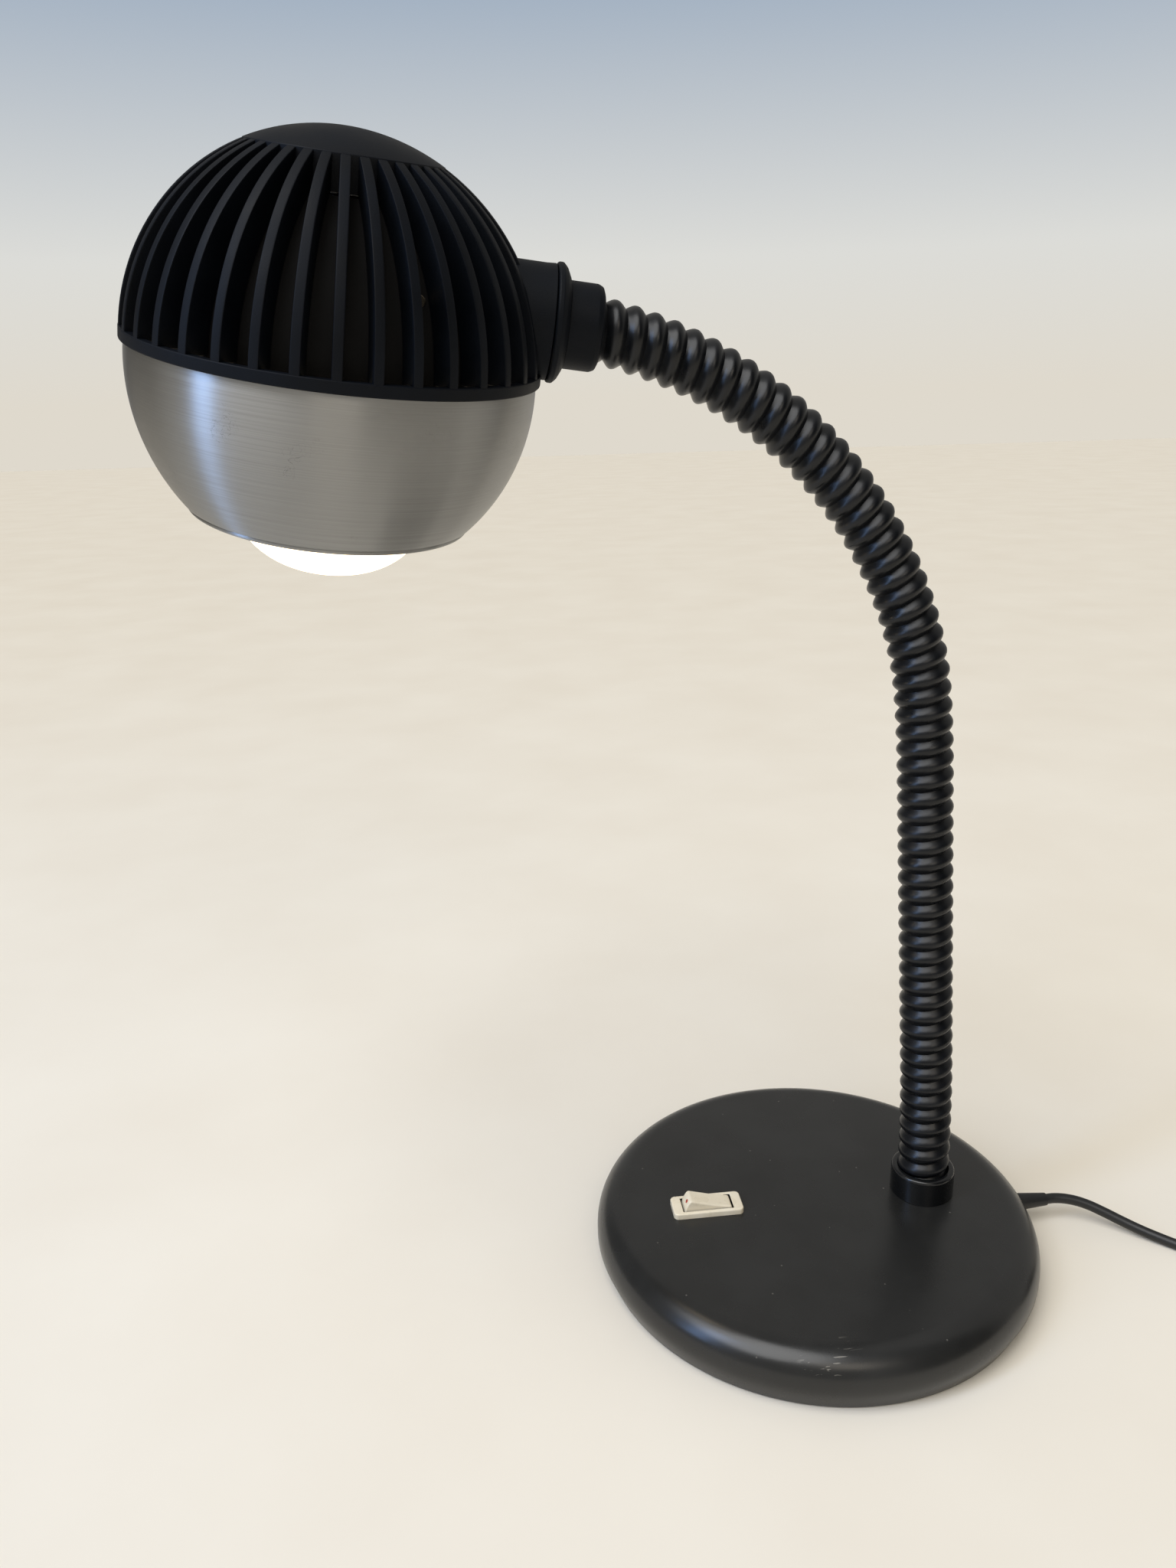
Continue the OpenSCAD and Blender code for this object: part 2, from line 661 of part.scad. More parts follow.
module dome_cap() rotate_extrude($fn = 96) {
    intersection() {
        difference() {
            circle(r = head_r, $fn = 180);
            circle(r = head_r - cap_wall, $fn = 180);
        }
        square([cap_r, head_r]);
    }
    intersection() {
        difference() {
            circle(r = head_r - fin_sink, $fn = 180);
            circle(r = fin_in - fin_sink, $fn = 180);
        }
        translate([cap_r - cap_rim, 0]) square([cap_rim, head_r]);
    }
}

module dome_grille() color("#1b1b1c") in_head() difference() {
    union() {
        rotate_extrude($fn = 96) polygon([
            [band_in, 0], [head_r, 0], [sqrt(head_r * head_r - band_h * band_h), band_h], [band_in, band_h]
        ]);
        for (k = [0:fin_count - 1]) rotate([0, 0, fin_phase + k * 360 / fin_count]) fin();
        dome_cap();
        translate([0, 0, pillar_face]) cylinder(r = pillar_r, h = head_r - cap_wall / 2 - pillar_face);
        translate([0, 0, boss_h]) {
            along_x(boss_root) cylinder(r = boss_r, h = boss_reach - boss_root);
            along_x(boss_reach - boss_flare) cylinder(r1 = boss_r, r2 = ring_r - 0.6, h = boss_flare);
        }
    }
    translate([0, 0, boss_h]) along_x(boss_root - 1)
        cylinder(r = nipple_r + fit, h = boss_reach - boss_root + 2);
    translate([0, 0, pillar_face - 1]) cylinder(r = holder_stub_r + 0.3, h = holder_stub_h + 1.5);
    for (x = [-bracket_screw_at, bracket_screw_at])
        translate([x, 0, pillar_face - 1])
            cylinder(r = bracket_screw_r + fit, h = bracket_screw_l + 1, $fn = 24);
}

module heat_shield() color("#0c0c0c") in_head() difference() {
    rotate_extrude($fn = 96) intersection() {
        difference() {
            circle(r = shield_r, $fn = 180);
            circle(r = shield_r - shield_wall, $fn = 180);
        }
        translate([0, shield_foot]) square([head_r, shield_top - shield_foot]);
    }
    translate([0, 0, boss_h]) along_x(boss_root - boss_len)
        cylinder(r = boss_r + 0.4, h = 2 * boss_len + boss_out);
    for (v = VENTS)
        rotate([0, 0, v[0]]) translate([0, 0, v[1]]) along_x(shield_r / 3)
            cylinder(r = vent_r, h = shield_r, $fn = 24);
}

module lower_bowl() color("#b8b9bb") in_head() rotate_extrude($fn = 128) {
    intersection() {
        translate([bowl_x, -bowl_drop]) difference() {
            circle(r = bowl_round, $fn = 180);
            circle(r = bowl_round - bowl_wall, $fn = 180);
        }
        translate([0, -mouth_depth]) square([2 * head_r, mouth_depth - seam]);
    }
    translate([lip_r - bowl_wall, -lip_drop]) square([bowl_wall, lip_top + lip_drop]);
    translate([lip_r - bowl_wall, -bowl_wall - seam])
        square([bowl_top_r - bowl_wall / 2 - lip_r + bowl_wall, bowl_wall]);
    translate([mouth_r - bead_r, -mouth_depth]) circle(r = bead_r, $fn = 32);
}

module holder_bracket() color("#b9bbbd") in_head() translate([0, 0, holder_top]) difference() {
    cylinder(r = bracket_r, h = bracket_t);
    translate([0, 0, -1]) cylinder(r = holder_stub_r + fit, h = bracket_t + 2);
    for (x = [-bracket_screw_at, bracket_screw_at])
        translate([x, 0, -1]) cylinder(r = bracket_screw_r + fit, h = bracket_t + 2, $fn = 24);
}

module bracket_screws() color("#9c9ea0") in_head()
    for (x = [-bracket_screw_at, bracket_screw_at]) translate([x, 0, 0]) {
        translate([0, 0, holder_top - bracket_head_h])
            cylinder(r = 2 * bracket_screw_r - 0.3, h = bracket_head_h, $fn = 24);
        translate([0, 0, holder_top - eps]) cylinder(r = bracket_screw_r, h = bracket_screw_l, $fn = 24);
    }

module lampholder_body() color("#1a1a1a") in_head() difference() {
    rotate_extrude($fn = 64) polygon([
        [0, holder_low], [holder_r, holder_low], [holder_r, holder_shoulder - 3],
        [holder_neck_r, holder_shoulder], [holder_neck_r, holder_crown], [holder_stub_r, holder_crown],
        [holder_stub_r, pillar_face + holder_stub_h], [0, pillar_face + holder_stub_h]
    ]);
    translate([0, 0, holder_low - 1])
        cylinder(r = thread_r + sleeve_wall + fit, h = holder_shoulder - 2 - holder_low + 1, $fn = 64);
    translate([0, 0, holder_low]) cylinder(r = insulator_r + 2, h = holder_roof - holder_low);
}

module lampholder_sleeve() color("#c9a45c") in_head() translate([0, 0, sleeve_low]) difference() {
    cylinder(r = thread_r + sleeve_wall, h = sleeve_high - sleeve_low, $fn = 64);
    translate([0, 0, -1]) cylinder(r = thread_r, h = sleeve_high, $fn = 64);
}

module lampholder_tongue() color("#c9a45c") in_head() {
    translate([0, 0, bulb_tip_high + 0.1]) cylinder(r = 3, h = 0.6, $fn = 24);
    translate([0, 0, bulb_tip_high + 0.1]) cylinder(r = 1.5, h = holder_roof - bulb_tip_high - 0.1, $fn = 24);
}

// The bulb's outline: a straight neck, a flare to the widest ring, and a rounded front
module bulb_outline(wall) {
    wide = bulb_r - wall;
    slim = neck_glass_r - wall;
    tip = bulb_tip - wall;
    flare = [for (k = [0:flare_steps])
        let (t = k / flare_steps)
        [slim + (wide - slim) * pow(sin(90 * t), 1.25), bulb_cap_low * (1 - t) + shoulder_z * t]];
    crown = [for (k = [1:crown_steps])
        let (a = 90 * k / crown_steps)
        [wide * pow(cos(a), 0.85), shoulder_z - (tip + shoulder_z) * sin(a)]];
    polygon(concat([[0, glass_top - wall], [slim, glass_top - wall]], flare, crown));
}

module bulb_glass() color("#f3ead2") in_head() difference() {
    rotate_extrude($fn = 64) bulb_outline(0);
    rotate_extrude($fn = 64) bulb_outline(glass_wall);
}

module bulb_cap() color("#c4c5c7") in_head() difference() {
    rotate_extrude($fn = 64) polygon([
        [0, bulb_cap_low], [cap_thread_r, bulb_cap_low], [cap_thread_r, bulb_cap_high],
        [insulator_r + 2, cap_shoulder], [0, cap_shoulder]
    ]);
    translate([0, 0, bulb_cap_low - 1])
        cylinder(r = neck_glass_r + fit, h = bulb_cap_high - bulb_cap_low + 1 - cap_skin, $fn = 64);
    translate([0, 0, glass_top - 1]) cylinder(r = insulator_r - 1, h = 30);
}

module bulb_contact() color("#2a2a2a") in_head() {
    translate([0, 0, cap_shoulder]) cylinder(r = insulator_r, h = 1, $fn = 32);
    translate([0, 0, cap_shoulder + 1 - eps])
        cylinder(r = 2.6, h = bulb_tip_high - cap_shoulder - 1 + eps, $fn = 32);
}

// Leads from the lampholder's shoulder down into the swivel's tube
module head_leads() color("#7a2f22") in_head()
    for (s = [-1, 1]) tube([
        [holder_neck_r + 0.1, 2.4 * s, lead_top], [lead_x(0), 2.4 * s, lead_top],
        [lead_x(0.24), 2.2 * s, lead_top - 2],
        [lead_x(0.42), 1.9 * s, lead_top - 7], [lead_x(0.54), 1.6 * s, boss_h + 7.4],
        [lead_x(0.66), 1.3 * s, boss_h + 3], [lead_x(0.8), lead_gap * s, boss_h + 0.8],
        [lead_x(1), lead_gap * s, boss_h], [lead_x(1) + lead_end, lead_gap * s, boss_h]
    ], lead_r, lead_sides);

module cord_relief() color("#121213") translate([0, 0, cord_z]) difference() {
    union() {
        along_x(relief_start) cylinder(r = relief_flange_r, h = relief_flange_t);
        along_x(relief_start) cylinder(r = relief_r, h = base_r + 1 - relief_start);
        along_x(base_r + 1 - eps)
            cylinder(r1 = relief_r, r2 = relief_tip_r, h = relief_out - 1 + eps);
    }
    along_x(relief_start - 1) cylinder(r = cord_r + fit, h = relief_in + relief_out + 2);
}

module cord_clamp() color("#d8d5cb") translate([clamp_x, 0, 0]) difference() {
    translate([-clamp_l / 2, -clamp_w / 2, plate_z + plate_t])
        cube([clamp_l, clamp_w, clamp_h - plate_z - plate_t]);
    translate([0, 0, cord_z]) along_x(-clamp_l) cylinder(r = cord_r + fit, h = 2 * clamp_l);
    for (y = [-clamp_screw_y, clamp_screw_y])
        translate([0, y, 0]) cylinder(r = clamp_screw_r + fit, h = 2 * clamp_h, $fn = 24);
}

module clamp_screws() color("#b9bbbd")
    for (y = [-clamp_screw_y, clamp_screw_y]) translate([clamp_x, y, 0]) {
        translate([0, 0, plate_z + 0.2]) cylinder(r = clamp_screw_r, h = clamp_h - plate_z, $fn = 24);
        translate([0, 0, clamp_h]) cylinder(r = 2 * clamp_screw_r, h = 1.4, $fn = 24);
    }

module cord_inner() color("#131314") translate([0, 0, cord_z])
    along_x(cord_start) cylinder(r = cord_r, h = relief_end - cord_start, $fn = 32);

// Leads in the base: cord to switch, switch to neck, cord to neck
module base_leads() color("#7a2f22") {
    up_z = body_z - terminal_drop + 1.5;
    far_x = -switch_x - terminal_x - terminal_t / 2 - lead_r - 0.1;
    near_x = -switch_x + terminal_x + terminal_t / 2 + lead_r + 0.1;
    tube([
        [cord_start - lead_clear, lead_gap, cord_z], [weight_r + 1.2, 3, 8.6], [weight_r + 1.4, 6.5, 6.4],
        [weight_r, 10, lead_z + 0.2], [56, 15, lead_z], [30, 21, lead_z], [0, 21, lead_z],
        [-25, 12, lead_z], [near_x + 3, 3, lead_z], [near_x, 0.5, lead_z + 0.4], [near_x, 0, up_z + 1]
    ], lead_r, lead_sides);
    tube([
        [far_x, 0, up_z + 1], [far_x, -0.5, lead_z + 0.4], [far_x + 1, -4, lead_z], [-40, -10, lead_z],
        [0, -12, lead_z], [30, -10, lead_z], [41, -4, lead_z], [neck_x - lead_gap, -1, lead_z + 0.6],
        [neck_x - lead_gap, 0, weight_z + 3], [neck_x - lead_gap, 0, nut_z + nut_h]
    ], lead_r, lead_sides);
    tube([
        [cord_start - lead_clear, -lead_gap, cord_z], [weight_r + 1.2, -3, 8.6], [weight_r + 1.4, -6, 6.4],
        [weight_r, -8, lead_z + 0.2], [57, -8, lead_z], [50, -4, lead_z],
        [neck_x + lead_gap + 0.4, -1, lead_z + 0.6], [neck_x + lead_gap, 0, weight_z + 3],
        [neck_x + lead_gap, 0, nut_z + nut_h]
    ], lead_r, lead_sides);
}

module cord_free() color("#131314") tube(FREE, cord_r, 8);

// The coil: four layers that spiral in, out, in and out, each climb spread over half a turn
function coil_layer(a) = floor(min(a, coil_span - 1) / (coil_turns * 360));
function coil_way(a) =
    let (q = a / (coil_turns * 360) - coil_layer(a)) coil_layer(a) % 2 == 0 ? q : 1 - q;
function coil_height(a) =
    coil_z + coil_step * [for (j = [1:3]) max(0, min(1, (a - j * coil_turns * 360 + 90) / 180))] * [1, 1, 1];
function coil_point(a) =
    let (r = coil_r - coil_step * coil_turns * coil_way(a))
    [coil_at.x + r * sin(a), coil_at.y - r * cos(a), coil_height(a)];
coil_loops = [for (k = [0:coil_span / 360 * coil_rings]) coil_point(k * 360 / coil_rings)];
coil_path = concat(
    [[coil_at.x - cord_d, coil_entry, coil_z]],
    coil_loops,
    [[plug_x, tail_start, coil_top]]
);
// Least gap of the coil to itself, measured from turn to turn on the tube's middle
coil_gap = min([for (i = [0:len(coil_loops) - 1], j = [i + 12:len(coil_loops) - 1])
    norm(coil_loops[i] - coil_loops[j])]) - cord_d;
echo(coil_gap = coil_gap);

module cord_coil() color("#131314") tube(coil_path, cord_r, coil_sides);
module cord_tail() color("#131314") tube(TAIL, cord_r, 8);

module cord_tie() color("#2b2b2d") translate([coil_at.x, coil_at.y, 0]) rotate([0, 0, 150]) {
    inner = coil_r - coil_step * coil_turns - cord_r - tie_room;
    outer = coil_r + cord_r + tie_room;
    high = coil_top + cord_r + tie_room;
    translate([inner - tie_t, -tie_w / 2, 0]) difference() {
        cube([outer - inner + 2 * tie_t, tie_w, high + tie_t]);
        translate([tie_t, -1, tie_t]) cube([outer - inner, tie_w + 2, high - tie_t]);
    }
}

module plug_body() color("#161617") translate([plug_x, 0, plug_axis_z]) difference() {
    union() {
        translate([0, plug_start, 0]) rotate([-90, 0, 0])
            cylinder(r1 = relief_tip_r, r2 = 5, h = plug_relief + 1, $fn = 32);
        translate([0, 0, -plug_axis_z]) linear_extrude(plug_t) polygon([
            [-plug_back_w / 2, plug_start + plug_relief], [plug_back_w / 2, plug_start + plug_relief],
            [plug_w / 2, plug_face - 10], [plug_w / 2, plug_face],
            [-plug_w / 2, plug_face], [-plug_w / 2, plug_face - 10]
        ]);
    }
    for (x = [-pin_apart / 2, pin_apart / 2])
        translate([x, plug_face - pin_seat, 0]) rotate([-90, 0, 0])
            cylinder(r = pin_r + fit, h = pin_seat + 1, $fn = 32);
}

module plug_pins() color("#c9c9cb")
    for (x = [-pin_apart / 2, pin_apart / 2])
        translate([plug_x + x, plug_face - pin_seat, plug_axis_z]) rotate([-90, 0, 0]) {
            cylinder(r = pin_r, h = pin_seat + pin_l - 1.2, $fn = 32);
            translate([0, 0, pin_seat + pin_l - 1.2 - eps])
                cylinder(r1 = pin_r, r2 = pin_r - 0.9, h = 1.2, $fn = 32);
        }

base_shell();
base_weight();
base_plate();
foot_pads();
base_screws();
switch_body();
switch_rocker();
switch_terminals();
neck_collar();
neck_nipple();
neck_washer();
neck_nut();
cord_relief();
cord_clamp();
clamp_screws();
base_leads();
cord_inner();
cord_free();
cord_coil();
cord_tail();
cord_tie();
plug_body();
plug_pins();
for (i = [0:LAST]) {
    neck_sleeve(i);
    neck_core(i);
}
neck_ferrule();
swivel_ring();
swivel_tube();
swivel_washer();
swivel_nut();
dome_grille();
heat_shield();
lower_bowl();
holder_bracket();
bracket_screws();
lampholder_body();
lampholder_sleeve();
lampholder_tongue();
bulb_glass();
bulb_cap();
bulb_contact();
head_leads();
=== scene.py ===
"""Looks of the desk lamp: a weighted base, a ribbed bendable neck and a ball-shaped head.

Sizes are millimetres, as in the part's source, and turn into metres where a mesh is made.
"""

import math

import bpy
from mathutils import Matrix, Vector


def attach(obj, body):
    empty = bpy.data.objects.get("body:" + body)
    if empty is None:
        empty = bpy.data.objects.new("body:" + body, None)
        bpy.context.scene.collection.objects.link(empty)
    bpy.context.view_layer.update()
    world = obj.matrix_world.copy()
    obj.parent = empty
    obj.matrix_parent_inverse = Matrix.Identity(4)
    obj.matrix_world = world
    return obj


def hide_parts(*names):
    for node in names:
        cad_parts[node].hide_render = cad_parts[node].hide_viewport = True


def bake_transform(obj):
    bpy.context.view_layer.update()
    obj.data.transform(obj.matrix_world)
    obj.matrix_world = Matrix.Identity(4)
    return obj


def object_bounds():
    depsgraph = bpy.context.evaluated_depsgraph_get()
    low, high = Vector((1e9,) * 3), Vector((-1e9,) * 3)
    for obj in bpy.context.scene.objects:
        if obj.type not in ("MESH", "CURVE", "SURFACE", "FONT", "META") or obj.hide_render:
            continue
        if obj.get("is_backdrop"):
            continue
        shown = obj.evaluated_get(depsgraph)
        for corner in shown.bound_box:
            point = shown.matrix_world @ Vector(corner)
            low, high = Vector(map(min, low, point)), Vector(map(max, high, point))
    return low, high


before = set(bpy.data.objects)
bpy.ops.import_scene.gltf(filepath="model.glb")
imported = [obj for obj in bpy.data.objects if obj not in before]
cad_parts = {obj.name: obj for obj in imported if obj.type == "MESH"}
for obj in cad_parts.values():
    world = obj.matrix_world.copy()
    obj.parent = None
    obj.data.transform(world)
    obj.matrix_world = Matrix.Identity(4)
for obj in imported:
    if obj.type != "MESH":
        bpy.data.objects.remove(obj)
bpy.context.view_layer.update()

MM = 0.001
MERGE = 1e-6
Z_AXIS = (0, 0, 1)

# Base and switch
BASE_R = 90.0
BASE_H = 22.0
BASE_ROUND = 11.5
BASE_TAPER = 3.0
BASE_WALL = 2.0
SHELL_LIFT = 0.8
SIDE_Z = 8.0
SWITCH_X = -45.0
BEZEL_L = 29.0
BEZEL_W = 12.0
BEZEL_H = 2.4
BEZEL_RIM = 1.6
BEZEL_END = 4.0
BEZEL_LIP = 0.7
BEZEL_CORNER = 2.0
BEZEL_EDGE = 0.6
WELL_EDGE = 0.25
ROCKER_SEEN_GAP = 0.55
ROCKER_EDGE = 0.8
SWITCH_DEPTH = 12.5
CAVITY = 9.0
ROCKER_TILT = 13.5
ROCKER_PROUD = 2.0
ROCKER_DIP = 2.0
ROCKER_CLEAR = 0.4
ROCKER_SKIRT = 3.2
ROCKER_L = BEZEL_L - 2 * BEZEL_END - 2 * ROCKER_CLEAR
PIVOT_SINK = 0.2
PIVOT_Z = BASE_H - PIVOT_SINK
MARK_RISE = 0.3
MARK_SINK = 0.06
MARK_ASIDE = 1.2
SCRATCH_AT = (-18.0, -82.0, 20.5)
SCRATCH_REACH = (13.0, 8.0, 8.0)

# Neck
NECK_X = 46.8
NECK_YAW = 1.0
NECK_LEAN = 4.2
NECK_BEND = 9.7
RIB_PITCH = 6.5
RIB_R = 9.9
VALLEY_R = 7.9
SLEEVE_WALL = 0.4
SLEEVE_SEAT = 0.2
SLEEVE_SLACK = 0.3
RIB_SHARPNESS = 1.4
RIB_RUNS = ((5,), (9,), (9,), (10,), (4, 4), (4,), (4,), (4, 4), (4, 2))
BENDS = (0, NECK_LEAN, 0, 0, NECK_BEND, NECK_BEND, NECK_BEND, NECK_BEND, NECK_BEND)
CUP_FLOOR = 2.4
CUP_BORE = RIB_R + 0.4
NIPPLE_R = 5.0
COLLAR_R = 12.8
COLLAR_H = 11.5
COLLAR_RIM = 1.2

# Head, as heights above the ball's middle and distances from the head's axis
HEAD_R = 64.2
BOSS_H = 18.6
HEAD_REACH = 80.8
HEAD_TURN = 10.0
BOSS_R = 17.2
BOSS_REACH = 65.3
BOSS_ROOT = 48.0
RING_R = 18.0
RING_T = 4.5
RING_RIM = 2.6
RUN_GAP = 0.25
FERRULE_R = 13.2
FERRULE_LEN = 11.2
FERRULE_RIM = 2.2
FIN_COUNT = 36
FIN_T = 3.0
FIN_DEPTH = 8.5
FIN_SINK = 0.15
FIN_PHASE = 4.2
FIN_ROOT = 0.5
FIN_TUCK = 1.0
BAND_H = 3.6
BAND_T = 3.0
CAP_R = 29.2
CAP_WALL = 2.6
CAP_RIM = 3.0
MOUTH_DEPTH = 49.0
BOWL_ROUND = 64.0
BOWL_DROP = 5.0
BOWL_IN = 1.4
SEAM = 0.2
BOWL_WALL = 1.0
BEAD_R = 0.9
LIP_TOP = 1.0
LIP_DROP = 4.0
LIP_CLEAR = 0.15
PILLAR_R = 11.0
PILLAR_FACE = 48.0
BULB_R = 32.0
BULB_TIP = 68.5
BULB_NECK_R = 12.5
BULB_TOP = 18.0
BULB_LOW = 12.5
BULB_SHOULDER = -45.0

# Cord
CORD_R = 2.1
CORD_Z = 10.0
RELIEF_R = 3.5
RELIEF_FLANGE_R = 6.0
RELIEF_FLANGE_T = 2.0
RELIEF_TIP = CORD_R + 0.5
RELIEF_START = BASE_R - 7
RELIEF_END = BASE_R + 13
COIL_AT = (206.0, -30.5)
COIL_R = 30.0
COIL_STEP = 4.8
COIL_Z = 2.9
COIL_TURNS = (11 + 0.25) / 4
COIL_LAYERS = 4
COIL_RINGS = 24
COIL_TOP = COIL_Z + 3 * COIL_STEP
COIL_ENTRY = COIL_AT[1] - COIL_R
PLUG_X = COIL_AT[0] + COIL_R
PLUG_Z = 6.8
PLUG_START = 28.0
PLUG_BACK = 41.0
PLUG_FACE = 67.0


# Camera at the photograph's viewing angle, in the frame of 1536 by 2048
PHOTO_FOCAL = 1540
PHOTO_HEIGHT = 2048
SENSOR = 36.0
camera_data = bpy.data.cameras.new("photo_camera")
camera_data.sensor_width = SENSOR
camera_data.lens = SENSOR * PHOTO_FOCAL / PHOTO_HEIGHT
camera_data.clip_start = 0.01
camera = bpy.data.objects.new("photo_camera", camera_data)
bpy.context.scene.collection.objects.link(camera)
CAMERA_PITCH = math.radians(90 - 18.218)
CAMERA_HEADING = math.radians(-6.074)
CAMERA_ROLL = math.radians(-1.355)
camera.matrix_world = (
    Matrix.Translation(Vector((-132.8, -400.7, 341.6)) * MM)
    @ Matrix.Rotation(CAMERA_HEADING, 4, "Z")
    @ Matrix.Rotation(CAMERA_PITCH, 4, "X")
    @ Matrix.Rotation(CAMERA_ROLL, 4, "Z")
)
bpy.context.scene.camera = camera
bpy.context.scene.view_settings.view_transform = "Standard"


# Frames of the neck and the head, in millimetres
def turn(degrees, axis):
    return Matrix.Rotation(math.radians(degrees), 4, axis)


def shift(x, y, z):
    return Matrix.Translation((x, y, z))


def neck_runs():
    """Each straight run of the neck as its segment, start, heading and length, in the neck's plane."""
    runs = []
    angle = 0
    at = Vector((0, 0, BASE_H))
    for segment, counts in enumerate(RIB_RUNS):
        angle += BENDS[segment]
        for part, count in enumerate(counts):
            angle += NECK_BEND if part else 0
            way = Vector((math.sin(math.radians(angle)), 0, math.cos(math.radians(angle))))
            runs.append((segment, at, way, count * RIB_PITCH))
            at = at + way * count * RIB_PITCH
    return runs, angle


RUNS, BOSS_ANGLE = neck_runs()
LAST_KNEE = RUNS[-1][1]
LAST_WAY = RUNS[-1][2]
NECK = shift(NECK_X, 0, 0) @ turn(180 + NECK_YAW, "Z")
BOSS_POINT = LAST_KNEE + LAST_WAY * HEAD_REACH
BOSS = NECK @ Matrix.Translation(BOSS_POINT) @ turn(180, "Z") @ turn(90 - BOSS_ANGLE, "Y")
HEAD = BOSS @ turn(HEAD_TURN, "X") @ shift(0, 0, -BOSS_H)
SWIVEL = BOSS @ turn(90, "Y")
RING_FACE = BOSS_REACH + RUN_GAP
FERRULE_FACE = RING_FACE + RING_T
SLEEVE_END = HEAD_REACH - FERRULE_FACE - CUP_FLOOR - SLEEVE_SLACK


# Modelling helpers
def start(name):
    """Edit mode on a new mesh that holds one vertex at the origin."""
    bpy.ops.object.select_all(action="DESELECT")
    bpy.ops.mesh.primitive_plane_add(size=MM, location=(0, 0, 0))
    piece = bpy.context.object
    piece.name = name
    bpy.ops.object.mode_set(mode="EDIT")
    bpy.ops.mesh.select_mode(type="VERT")
    bpy.ops.mesh.select_all(action="SELECT")
    bpy.ops.mesh.merge(type="CENTER")
    return piece


def outline(name, points):
    """A line in the XZ plane, extruded from point to point."""
    piece = start(name)
    bpy.ops.transform.translate(value=(points[0][0] * MM, 0, points[0][1] * MM))
    for a, b in zip(points, points[1:]):
        step = ((b[0] - a[0]) * MM, 0, (b[1] - a[1]) * MM)
        bpy.ops.mesh.extrude_region_move(TRANSFORM_OT_translate={"value": step})
    bpy.ops.mesh.select_all(action="SELECT")
    return piece


def close_mesh():
    """Merges doubles, turns the faces outwards and leaves edit mode."""
    bpy.ops.mesh.select_all(action="SELECT")
    bpy.ops.mesh.remove_doubles(threshold=MERGE)
    bpy.ops.mesh.normals_make_consistent(inside=False)
    bpy.ops.object.mode_set(mode="OBJECT")


def turned(name, points, segments=96):
    """A piece turned about Z from its outline, given as radius and height."""
    piece = outline(name, points)
    bpy.ops.mesh.spin(steps=segments, angle=2 * math.pi, center=(0, 0, 0), axis=Z_AXIS)
    close_mesh()
    return piece


def sawn(name, points, width):
    """A flat outline filled and extruded to a width, with its middle on the XZ plane."""
    piece = outline(name, points)
    bpy.ops.mesh.remove_doubles(threshold=MERGE)
    bpy.ops.mesh.edge_face_add()
    bpy.ops.transform.translate(value=(0, -width / 2 * MM, 0))
    bpy.ops.mesh.extrude_region_move(TRANSFORM_OT_translate={"value": (0, width * MM, 0)})
    close_mesh()
    return piece


def apply_modifier(piece, kind, **settings):
    """Puts a modifier on a piece and bakes it into the mesh."""
    bpy.ops.object.select_all(action="DESELECT")
    bpy.context.view_layer.objects.active = piece
    piece.select_set(True)
    made = piece.modifiers.new(kind.lower(), kind)
    for name, value in settings.items():
        setattr(made, name, value)
    bpy.ops.object.modifier_apply(modifier=made.name)


def soften(piece, width, segments=3, angle=32):
    """Rounds the sharp edges by a width, shades the rest smooth and keeps the flats flat."""
    limit = math.radians(angle)
    apply_modifier(
        piece, "BEVEL", width=width * MM, segments=segments, limit_method="ANGLE", angle_limit=limit)
    smooth(piece, angle)
    apply_modifier(piece, "WEIGHTED_NORMAL", keep_sharp=True)


def smooth(piece, angle=32):
    """Shades a piece smooth, with edges above an angle left sharp."""
    bpy.ops.object.select_all(action="DESELECT")
    bpy.context.view_layer.objects.active = piece
    piece.select_set(True)
    bpy.ops.object.shade_smooth_by_angle(angle=math.radians(angle))


def cut(piece, tool):
    """Takes a tool's shape out of a piece and removes the tool."""
    apply_modifier(piece, "BOOLEAN", operation="DIFFERENCE", object=tool, solver="EXACT")
    bpy.data.objects.remove(tool)


def move_mesh(piece, matrix):
    """Puts the piece's place, given in millimetres, into its mesh."""
    metres = matrix.copy()
    metres.translation = matrix.translation * MM
    piece.data.transform(metres)


def join(name, pieces):
    """Makes one object of several."""
    bpy.ops.object.select_all(action="DESELECT")
    for piece in pieces:
        piece.select_set(True)
    bpy.context.view_layer.objects.active = pieces[0]
    bpy.ops.object.join()
    pieces[0].name = name
    return pieces[0]


def fit_out(piece, material, body, slot, *nodes):
    """Gives a piece its finish, its body and the nodes that it stands for."""
    piece.data.materials.clear()
    piece.data.materials.append(material)
    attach(piece, body)
    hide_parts(*nodes)
    return piece


def arc(radius, first, last, steps, cx=0.0, cz=0.0):
    """Points on an arc, from one angle to another in degrees, as radius and height."""
    angles = [math.radians(first + (last - first) * k / steps) for k in range(steps + 1)]
    return [(cx + radius * math.cos(a), cz + radius * math.sin(a)) for a in angles]


# Materials
def linear(hex_colour):
    """An sRGB hex colour as linear red, green, blue and alpha."""
    parts = [int(hex_colour[i:i + 2], 16) / 255 for i in (1, 3, 5)]
    low = [p / 12.92 if p <= 0.04045 else ((p + 0.055) / 1.055) ** 2.4 for p in parts]
    return (*low, 1.0)


def add(tree, kind, inputs, **settings):
    """Adds a node with its settings; an input is a value, or an output to link."""
    made = tree.nodes.new(kind)
    for name, value in settings.items():
        setattr(made, name, value)
    for name, value in inputs.items():
        if isinstance(value, bpy.types.NodeSocket):
            tree.links.new(value, made.inputs[name])
        else:
            made.inputs[name].default_value = value
    return made


